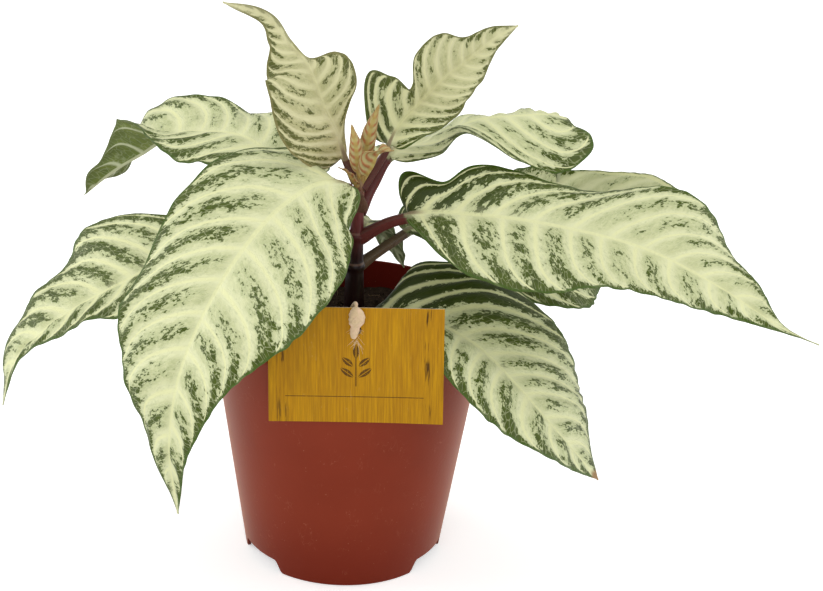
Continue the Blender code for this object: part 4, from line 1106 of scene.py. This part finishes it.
# %% Leaf finishes: upper face
def make_upper_finish():
    """The pale wash, then green, side veins, margin, midrib, brown tip and stalk laid over it in turn."""
    finish, tree, sockets = new_finish("leaf upper face", 0.42, Specular_IOR_Level=0.3)
    leaf = read_leaf(tree)
    marks, young = leaf["marks"], leaf["young"]
    soft = noise(tree, leaf["flat"], 9.0, 2.0)
    wash = blend(tree, soft, (0.495, 0.525, 0.275), (0.64, 0.66, 0.372))
    wash = blend(tree, young, wash, blend(tree, soft, (0.41, 0.36, 0.16), (0.57, 0.515, 0.275)))
    pale = blend(tree, young, (0.70, 0.715, 0.435), (0.55, 0.48, 0.27))
    shade = blend(tree, young, (0.26, 0.32, 0.14), (0.25, 0.22, 0.075))
    line = blend(tree, young, (0.73, 0.74, 0.405), (0.60, 0.55, 0.33))
    edge = blend(tree, young, (0.048, 0.095, 0.004), (0.30, 0.24, 0.10))
    on_dark = step(tree, leaf["dark"], 0.12, 0.35)
    fresh = blend(tree, on_dark, (0.090, 0.130, 0.007), (0.040, 0.062, 0.004))
    deep = blend(tree, noise(tree, leaf["flat"], 2.5, 2.0), (0.024, 0.038, 0.001), fresh)
    deep = blend(tree, young, deep, (0.13, 0.125, 0.035))
    beside = calc(tree, "MULTIPLY", step(tree, leaf["rib"], 3.2, 0.8), weigh(tree, on_dark, -0.5, 0.5))
    rib = step(tree, leaf["rib"], 1.0, 0.45)
    stalk = blend(tree, leaf["red"], (0.10, 0.085, 0.045), (0.10, 0.022, 0.018))
    along_rib = calc(tree, "MULTIPLY", step(tree, leaf["blade"], 0.95, 0.2), weigh(tree, rib, 0.7))
    of_stalk = calc(tree, "MAXIMUM", step(tree, leaf["blade"], 0.0, -0.2), along_rib)
    colour = coats(tree, wash, (marks["Pale"], 0.85, pale), (marks["Halo"], 0.42, shade),
                   (marks["Fine"], 0.35, pale), (marks["Dark"], 1, deep), (marks["Vein"], 0.9, line),
                   (marks["Margin"], 0.9, edge), (beside, 1, pale), (rib, 0.7, line),
                   (step(tree, leaf["tip"], 0.955, 0.975), 1, (0.30, 0.17, 0.06)), (of_stalk, 1, stalk))
    tree.links.new(colour, sockets["Base Color"])
    tree.links.new(weigh(tree, noise(tree, leaf["flat"], 4.0), 0.16, 0.34), sockets["Roughness"])
    relief(tree, sockets, marks["Height"], 0.22)
    return finish


# %% Leaf finishes: underside
def make_under_finish():
    """A matt grey-green or olive ground with faint green, and pale veins that stand out."""
    finish, tree, sockets = new_finish("leaf underside", 0.6, Specular_IOR_Level=0.2)
    leaf = read_leaf(tree)
    marks = leaf["marks"]
    soft = noise(tree, leaf["flat"], 8.0, 2.0)
    ground = blend(tree, soft, (0.26, 0.30, 0.155), (0.38, 0.42, 0.25))
    ground = blend(tree, leaf["olive"], ground, blend(tree, soft, (0.075, 0.115, 0.012), (0.17, 0.21, 0.035)))
    ground = blend(tree, leaf["young"], ground, (0.36, 0.31, 0.17))
    stalk = blend(tree, leaf["red"], (0.12, 0.10, 0.05), (0.14, 0.022, 0.022))
    colour = coats(tree, ground, (marks["Dark"], 0.45, (0.10, 0.13, 0.045)),
                   (marks["Fine"], 0.3, (0.46, 0.50, 0.30)), (marks["Vein"], 1, (0.50, 0.54, 0.33)),
                   (marks["Margin"], 0.5, (0.16, 0.20, 0.08)),
                   (step(tree, leaf["rib"], 1.3, 0.8), 1, (0.50, 0.53, 0.32)),
                   (step(tree, leaf["blade"], 0.3, -0.2), 1, stalk))
    tree.links.new(colour, sockets["Base Color"])
    ribbed = calc(tree, "ADD", weigh(tree, marks["Vein"], 0.6), weigh(tree, marks["Fine"], 0.3))
    relief(tree, sockets, ribbed, 0.35)
    return finish


# %% Leaf finishes: the newest leaves at the tip
def make_tip_finish():
    """Straw colour with red veins, a golden midrib and a reddish margin."""
    finish, tree, sockets = new_finish("growing leaf", 0.45, Specular_IOR_Level=0.3)
    leaf = read_leaf(tree)
    marks = leaf["marks"]
    straw = blend(tree, noise(tree, leaf["flat"], 5.0), (0.46, 0.38, 0.13), (0.62, 0.55, 0.30))
    colour = coats(tree, straw, (marks["Vein"], 0.8, (0.42, 0.10, 0.035)),
                   (step(tree, leaf["rib"], 1.5, 0.6), 0.7, (0.50, 0.40, 0.11)),
                   (marks["Margin"], 0.35, (0.40, 0.20, 0.08)))
    tree.links.new(colour, sockets["Base Color"])
    relief(tree, sockets, marks["Vein"], 0.15)
    return finish


# %% Leaves: making them all
# Rows and columns of the sheets
LEAF_GRID, TIP_LEAF_GRID = (170, 61), (44, 25)
upper_finish, under_finish, tip_finish = make_upper_finish(), make_under_finish(), make_tip_finish()
for number, (leaf_name, leaf_shape) in enumerate(LEAVES.items()):
    small = leaf_name.startswith("tip")
    finishes = [tip_finish, tip_finish] if small else [upper_finish, under_finish]
    grid = leaf_places(leaf_shape, *(TIP_LEAF_GRID if small else LEAF_GRID))
    upper, lower, values = leaf_sheet(leaf_shape, LOOKS[leaf_name], number + 1, *grid)
    dressed = closed_sheet(leaf_name + "_blade", upper, lower, values, finishes)
    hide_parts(leaf_name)

# %% [markdown]
# ## Card
# The plant card is a piece of printed board with a hole for the string. A box with a hole cut through it
# would stay quite flat. Here the board is one grid that closes on itself both ways: round the hole, and
# from the hole's edge over the front, the cut edge and the back. So it can bend a little, as a card does
# that has been wet.

# %% Card: the board
CARD_WIDTH, CARD_HEIGHT, CARD_THICK = 72.0, 52.0, 0.6
CARD_CENTRE_X, CARD_TOP, CARD_TURN = 4.5, 141.0, 1.4
CARD_HOLE_DROP, CARD_HOLE_RADIUS = 10.0, 2.2
CARD_SPOKES, CARD_CORNER_ROOM, CARD_EDGE_SOFT = 240, 0.012, 0.08


def card_place(across, up, out):
    """A place on the card: across and up from its top centre, out of its front face."""
    turn = math.radians(CARD_TURN)
    across, up, out = np.broadcast_arrays(*[np.asarray(n, float) for n in (across, up, out)])
    x = CARD_CENTRE_X + across*math.cos(turn) - up*math.sin(turn)
    z = CARD_TOP + across*math.sin(turn) + up*math.cos(turn)
    return np.stack([x, -RIM_RADIUS - GAP - CARD_THICK - out, z], axis=-1)


def card_edge(angle):
    """From the hole's middle, the distance to the rectangle's edge in each direction."""
    cos, sin = np.cos(angle), np.sin(angle)
    up, down = CARD_HOLE_DROP, CARD_HEIGHT - CARD_HOLE_DROP
    to_side = CARD_WIDTH/2/np.maximum(np.abs(cos), 1e-9)
    to_end = np.where(sin > 0, up, down)/np.maximum(np.abs(sin), 1e-9)
    return np.minimum(to_side, to_end)


def card_angles():
    """Directions from the hole, even, with the four corners among them."""
    corners = [math.atan2(up, across) for up in (CARD_HOLE_DROP, CARD_HOLE_DROP - CARD_HEIGHT)
               for across in (-CARD_WIDTH/2, CARD_WIDTH/2)]
    even = np.linspace(-math.pi, math.pi, CARD_SPOKES, endpoint=False)
    apart = np.abs(even[:, None] - np.array(corners)[None]).min(axis=1) > CARD_CORNER_ROOM
    return np.sort(np.concatenate([even[apart], corners]))


def card_bend(across, up):
    """How far the board stands off flat: low in its middle part, and a corner that lifts a little."""
    sideways = across/(CARD_WIDTH/2)
    lift = np.clip(sideways + (-up - 30.0)/22.0 - 0.9, 0, 2)
    return 0.35*sideways**2*np.clip(-up/30.0, 0, 1) + 0.5*lift**2


def make_card(finish):
    """Rows go from the hole's edge over the front to the cut edge and over the back to the hole again."""
    angle = card_angles()
    share = np.concatenate([[0], np.linspace(0.02, 0.985, 16), [1]])
    hole, edge = CARD_HOLE_RADIUS, card_edge(angle)
    spoke = hole + (edge - hole)*share[:, None]
    across, up = spoke*np.cos(angle), spoke*np.sin(angle) - CARD_HOLE_DROP
    bend = card_bend(across, up)
    soften = np.where((share > 0.99) | (share < 0.01), CARD_EDGE_SOFT, 0.0)[:, None]
    front = card_place(across, up, bend - soften)
    back = card_place(across, up, bend - CARD_THICK + soften)
    grid = np.concatenate([front, back[::-1]])
    print_at = np.stack([across, up, 0*across], axis=-1)
    values = {"card": np.concatenate([print_at, print_at[::-1] + (0, 0, 1.0)]).reshape(-1, 3)}
    quads = grid_quads(*grid.shape[:2], wrap_rows=True, wrap_cols=True)
    made = piece("card_board", grid.reshape(-1, 3), [quads], [finish], values, sharp=40.0)
    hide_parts("card")
    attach(made, "root")


# %% [markdown]
# ## Print of the card
# The print shows mustard planks with dark cracks near both ends. It could be a picture, but masks from
# formulas stay sharp at any size: the grain is noise drawn out along the card's height, and the line and
# the sprig are places closer than a limit to a line or a leaf's outline.

# %% Card: plank print, ruled line and sprig
# Each leaf of the sprig: its middle from the card's top centre, its turn in degrees and its half length
SPRIG_LEAVES = ((0, -19.6, 90, 3.4), (3.4, -24.4, 42, 3.2), (-3.4, -24.4, 138, 3.2),
                (3.7, -29.2, 38, 3.6), (-3.7, -29.2, 142, 3.6))
RULE_DROP, RULE_MIDDLE, RULE_HALF = 40.2, -0.6, 28.5


def sprig_mask(tree, across, up):
    """A stem and five pointed leaves: each leaf is where a place turned to the leaf's own axes lies within
    a half width that goes as 1 minus the square of the way along."""
    found = calc(tree, "MULTIPLY", step(tree, calc(tree, "ABSOLUTE", across), 0.28, 0.16),
                 calc(tree, "MULTIPLY", step(tree, up, -35.6, -35.3), step(tree, up, -22.0, -22.4)))
    for x, y, turn, half in SPRIG_LEAVES:
        cos, sin = math.cos(math.radians(turn)), math.sin(math.radians(turn))
        away_x, away_y = weigh(tree, across, 1.0, -x), weigh(tree, up, 1.0, -y)
        length = calc(tree, "ADD", weigh(tree, away_x, cos/half), weigh(tree, away_y, sin/half))
        off_line = calc(tree, "ADD", weigh(tree, away_x, -sin), weigh(tree, away_y, cos))
        breadth = calc(tree, "ABSOLUTE", off_line)
        room = weigh(tree, calc(tree, "POWER", calc(tree, "ABSOLUTE", length), 2.0), -1.35, 1.35)
        body = step(tree, calc(tree, "SUBTRACT", breadth, room), 0.05, -0.08)
        rib = step(tree, breadth, 0.12, 0.2)
        found = calc(tree, "MAXIMUM", found, calc(tree, "MULTIPLY", body, rib))
    return found


def make_card_finish():
    """Grain between two mustards and a brown, cracks near both ends, then ink, scratches and a bare back."""
    finish, tree, sockets = new_finish("printed board", 0.5, Specular_IOR_Level=0.12)
    place, across, up, back = vector_value(tree, "card")
    grain = noise(tree, place, 0.75, 4.0, 0.65, (1, 26, 1))
    broad = noise(tree, place, 5.0, 2.0, 0.5, (1, 9, 1))
    colour = blend(tree, broad, (0.41, 0.180, 0.004), (0.65, 0.345, 0.005))
    worn = blend(tree, 0.5, colour, (0.23, 0.095, 0.006))
    colour = blend(tree, step(tree, grain, 0.35, 0.70), worn, colour)
    crack = noise(tree, place, 1.1, 3.0, 0.6, (1, 16, 1))
    near_side = step(tree, calc(tree, "ABSOLUTE", weigh(tree, across, 1.0, -29.0)), 3.4, 0.4)
    far_side = step(tree, calc(tree, "ABSOLUTE", weigh(tree, across, 1.0, 30.5)), 4.0, 0.4)
    streak = calc(tree, "MULTIPLY", step(tree, crack, 0.50, 0.60),
                  calc(tree, "MAXIMUM", near_side, weigh(tree, far_side, 0.8)))
    gaps = calc(tree, "MULTIPLY", streak, step(tree, noise(tree, place, 9.0, 1.0), 0.40, 0.60))
    rough_print = step(tree, noise(tree, place, 0.45, 2.0), 0.30, 0.42)
    from_rule = calc(tree, "ABSOLUTE", weigh(tree, up, 1.0, RULE_DROP))
    from_middle = calc(tree, "ABSOLUTE", weigh(tree, across, 1.0, -RULE_MIDDLE))
    line = calc(tree, "MULTIPLY", step(tree, from_rule, 0.24, 0.12),
                step(tree, from_middle, RULE_HALF + 0.3, RULE_HALF - 0.3))
    ink = calc(tree, "MULTIPLY", calc(tree, "MAXIMUM", line, sprig_mask(tree, across, up)), rough_print)
    wear = use_group(tree, WEAR, Place=place, Cloud_size=16.0, Scratch_size=5.0)
    colour = coats(tree, colour, (gaps, 0.9, (0.045, 0.018, 0.004)), (ink, 0.86, (0.055, 0.022, 0.006)),
                   (wear["Scratches"], 0.25, (0.62, 0.40, 0.12)),
                   (step(tree, back, 0.4, 0.6), 1, (0.62, 0.57, 0.46)))
    tree.links.new(colour, sockets["Base Color"])
    tree.links.new(weigh(tree, wear["Cloud"], 0.15, 0.40), sockets["Roughness"])
    relief(tree, sockets, noise(tree, place, 0.5, 2.0), 0.02)
    return finish


make_card(make_card_finish())

# %% [markdown]
# ## String
# A loosely spun cream string holds the card: from a knot it goes through the hole, back round the stem
# and forward again over the card's top edge. Three strands wind round one another as helices about that
# route. The knot is a lump with the strands' windings raised on it, and loose fibres stand out of its end.

# %% String: route and strands
STRING_RADIUS, STRING_LOOP_HEIGHT = 0.7, 104.0
STRAND_RADIUS, STRAND_OFFSET, TWIST_LENGTH = 0.40, 0.34, 4.2
STRAND_ROWS, STRAND_SIDES = 560, 8


def string_route():
    """From the knot through the card's hole, back round the stem and forward over the card's top edge."""
    clear = float(stem_radius(np.array(STRING_LOOP_HEIGHT))) + GAP + STRING_RADIUS + 0.3
    hole = card_place(0, -CARD_HOLE_DROP, 0)
    top = card_place(0, 0, 0)
    front = STRING_RADIUS + GAP
    route = [hole + (0, -front - 1.2, 0.4), hole + (0, CARD_THICK/2, 0), hole + (-0.8, 5, -1.5)]
    route += [(STEM_X - 5.5, -32, STRING_LOOP_HEIGHT + 12)]
    route += [(STEM_X - clear*math.sin(a), -clear*math.cos(a), STRING_LOOP_HEIGHT)
              for a in np.radians([60, 90, 135, 180, 225, 270, 310])]
    route += [(STEM_X - 1.5, -30, STRING_LOOP_HEIGHT + 17), top + (-0.5, 6, -0.6), top + (-0.2, 2.2, 0.9)]
    route += [top + (0, CARD_THICK/2, front + 0.4), top + (0, -front - 0.6, 0.3)]
    route += [top + (0, -front - 0.9, -2.0), hole + (0, -front - 1.2, 3.0)]
    return np.array([tuple(p) for p in route], float)


def make_strands(finish):
    """Each strand's middle line is the route plus a vector that turns once in TWIST_LENGTH."""
    route = string_route()
    knots = np.concatenate([[0], np.cumsum(np.linalg.norm(np.diff(route, axis=0), axis=1))])
    at = np.linspace(0, knots[-1], STRAND_ROWS)
    line = through(route, knots, at)
    run = unit(np.gradient(line, axis=0))
    aside = unit(np.cross(run, np.array([0.2, 0.1, 0.97])))
    above = np.cross(run, aside)
    turn = 2*math.pi*(at/TWIST_LENGTH + np.arange(3)[:, None]/3)
    lines = line + STRAND_OFFSET*(aside*np.cos(turn)[..., None] + above*np.sin(turn)[..., None])
    places, faces = tubes(lines, np.full(3, STRAND_RADIUS), sides=STRAND_SIDES, taper=0.0)
    made = piece("string_strands", places, faces, [finish])
    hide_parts("string")
    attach(made, "root")
    print("string", round(knots[-1]), "mm long")


# %% String: knot and loose fibres
KNOT_ROWS, KNOT_SIDES = 60, 64
KNOT_RISE, KNOT_LENGTH, KNOT_RADIUS, KNOT_TAIL = 3.0, 14.2, 3.25, 1.9
LOOSE_FIBRES, RISING_FIBRES, LOOSE_SEED = 34, 14, 21


def make_knot(finish):
    """A lump whose radius along its length is a large bell over a small one, with helical windings."""
    s = np.linspace(0, 1, KNOT_ROWS)
    height = KNOT_RISE - KNOT_LENGTH*s
    full = KNOT_RADIUS*np.sqrt(np.clip(1 - ((s - 0.33)/0.34)**2, 0, 1))
    tail = KNOT_TAIL*np.sqrt(np.clip(1 - ((s - 0.68)/0.33)**2, 0, 1))
    radius = np.maximum(full, tail)
    radius[0] = radius[-1] = 0
    angle = 2*math.pi*np.arange(KNOT_SIDES)/KNOT_SIDES
    wind = 0.045*np.cos(3*(angle[None, :] + 2.2*math.pi*2*s[:, None]))
    wind = wind + 0.06*ripple(angle[None, :]*3 + 9*s[:, None], 3, 4, 2.1)
    r = radius[:, None]*(1 + wind*np.sin(math.pi*s)[:, None])
    sway = 0.5*np.sin(5*s)[:, None]
    x, y = r*np.cos(angle) + sway, 0.8*r*np.sin(angle)
    middle = card_place(0, -CARD_HOLE_DROP + 11.0, 0)
    grid = np.stack([x, y - 2.5, height[:, None] - 2.6 + 0*x], axis=-1) + middle
    places, faces = closed_turning(grid)
    made = piece("string_knot", places, [f[:, ::-1] for f in faces], [finish], sharp=80.0)
    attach(made, "root")


def make_loose_fibres(finish, count=LOOSE_FIBRES):
    """Thin hairs from the knot: most from its lower end, bent down by their own weight."""
    rng = np.random.default_rng(LOOSE_SEED)
    end = card_place(0, -CARD_HOLE_DROP - 3.4, 0) + (0.3, -2.3, 0)
    start = end + rng.normal(0, 1, (count, 3))*(0.7, 0.35, 1.2)
    start[:RISING_FIBRES] += (0, 0, 1)*rng.uniform(2, 8, (RISING_FIBRES, 1))
    heading = rng.normal(0, 1, (count, 3))*(1.0, 0.25, 0.45) + (0, -0.15, -0.75)
    heading[:RISING_FIBRES, 2] = rng.uniform(-0.9, 0.5, RISING_FIBRES)
    heading = unit(heading)
    length = rng.uniform(1.5, 4.4, count)
    length[-1], heading[-1] = 7.0, (0.12, -0.05, -0.99)
    s = np.linspace(0, 1, 9)[None, :, None]
    lines = start[:, None] + heading[:, None]*length[:, None, None]*s
    lines = lines + np.array([0, 0, -1.0])*(length[:, None, None]*0.18*s**2)
    lines[..., 1] = np.minimum(lines[..., 1], end[1] + 1.6)
    places, faces = tubes(lines, rng.uniform(0.05, 0.11, count), sides=4, taper=0.6)
    made = piece("string_fibres", places, faces, [finish])
    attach(made, "root")


# %% String: cream fibre
def make_string_finish():
    """Cream threads from drawn-out noise, with some warmer stretches."""
    finish, tree, sockets = new_finish("cream string", 0.85, Sheen_Weight=0.3)
    place = spot(tree)
    threads = noise(tree, place, 0.22, 3.0, 0.6, (1, 1, 6))
    colour = blend(tree, threads, (0.50, 0.34, 0.17), (0.80, 0.62, 0.40))
    colour = blend(tree, step(tree, noise(tree, place, 3.0), 0.45, 0.75), colour, (0.72, 0.50, 0.34))
    tree.links.new(colour, sockets["Base Color"])
    relief(tree, sockets, threads, 0.12)
    return finish


string_finish = make_string_finish()
make_strands(string_finish)
make_knot(string_finish)
make_loose_fibres(string_finish)

# %% [markdown]
# ## Studio
# The photo is a catalogue picture: white ground, white surroundings, hardly a shadow. A large pale floor
# and an even white world give that, and broad soft lights from above, in front and both sides model the
# leaves.

# %% Floor, world and lights
FLOOR_REACH, FLOOR_DROP, FLOOR_GLOW, WORLD_GLOW = 6000.0, 0.15, 0.45, 0.45
WHITE = (1.0, 1.0, 1.0)
# Each light: its place, the place that it aims at, its side in millimetres, its watts and its colour
LIGHTS = {
    "top_light": ((-200, 150, 1800), (20, 0, 120), 1800, 12, (1.0, 1.0, 0.98)),
    "front_light": ((-150, -1800, 900), (20, 0, 100), 1400, 13, WHITE),
    "left_light": ((-1500, 300, 600), (20, 0, 80), 1500, 14, WHITE),
    "right_light": ((1500, 300, 600), (20, 0, 80), 1500, 14, WHITE),
}


def make_floor():
    """A flat square sheet far larger than the view."""
    side = np.linspace(-FLOOR_REACH, FLOOR_REACH, 3)
    x, y = np.meshgrid(side, side, indexing="ij")
    finish, tree, sockets = new_finish("pale floor", 0.9, Specular_IOR_Level=0.2,
                                       Emission_Strength=FLOOR_GLOW)
    colour = blend(tree, noise(tree, spot(tree), 60.0), (0.90, 0.90, 0.90), (0.92, 0.92, 0.92))
    tree.links.new(colour, sockets["Base Color"])
    seen = node(tree, "LightPath").outputs["Is Camera Ray"]
    tree.links.new(blend(tree, seen, (0, 0, 0), (1, 1, 1)), sockets["Emission Color"])
    places = np.stack([x, y, 0*x - FLOOR_DROP], axis=-1).reshape(-1, 3)
    floor = piece("studio_floor", places, [grid_quads(3, 3)[:, ::-1]], [finish])


def make_light(name, place, aim, size, power, colour):
    """A square area light at a place in millimetres, turned to its aim."""
    data = bpy.data.lights.new(name, "AREA")
    data.shape, data.size, data.energy, data.color = "SQUARE", size*MM, power, colour
    light = bpy.data.objects.new(name, data)
    light.location = in_frame(place)
    light.rotation_mode = "QUATERNION"
    light.rotation_quaternion = (Vector(place) - Vector(aim)).to_track_quat("Z", "Y")
    bpy.context.scene.collection.objects.link(light)


world = bpy.data.worlds.new("white surroundings")
bpy.context.scene.world = world
world.use_nodes = True
background = world.node_tree.nodes["Background"]
background.inputs["Color"].default_value = (*WHITE, 1)
background.inputs["Strength"].default_value = WORLD_GLOW
bpy.context.scene.view_settings.view_transform = "Standard"
make_floor()
for light_name, light_values in LIGHTS.items():
    make_light(light_name, *light_values)
print(len(LIGHTS), "lights")
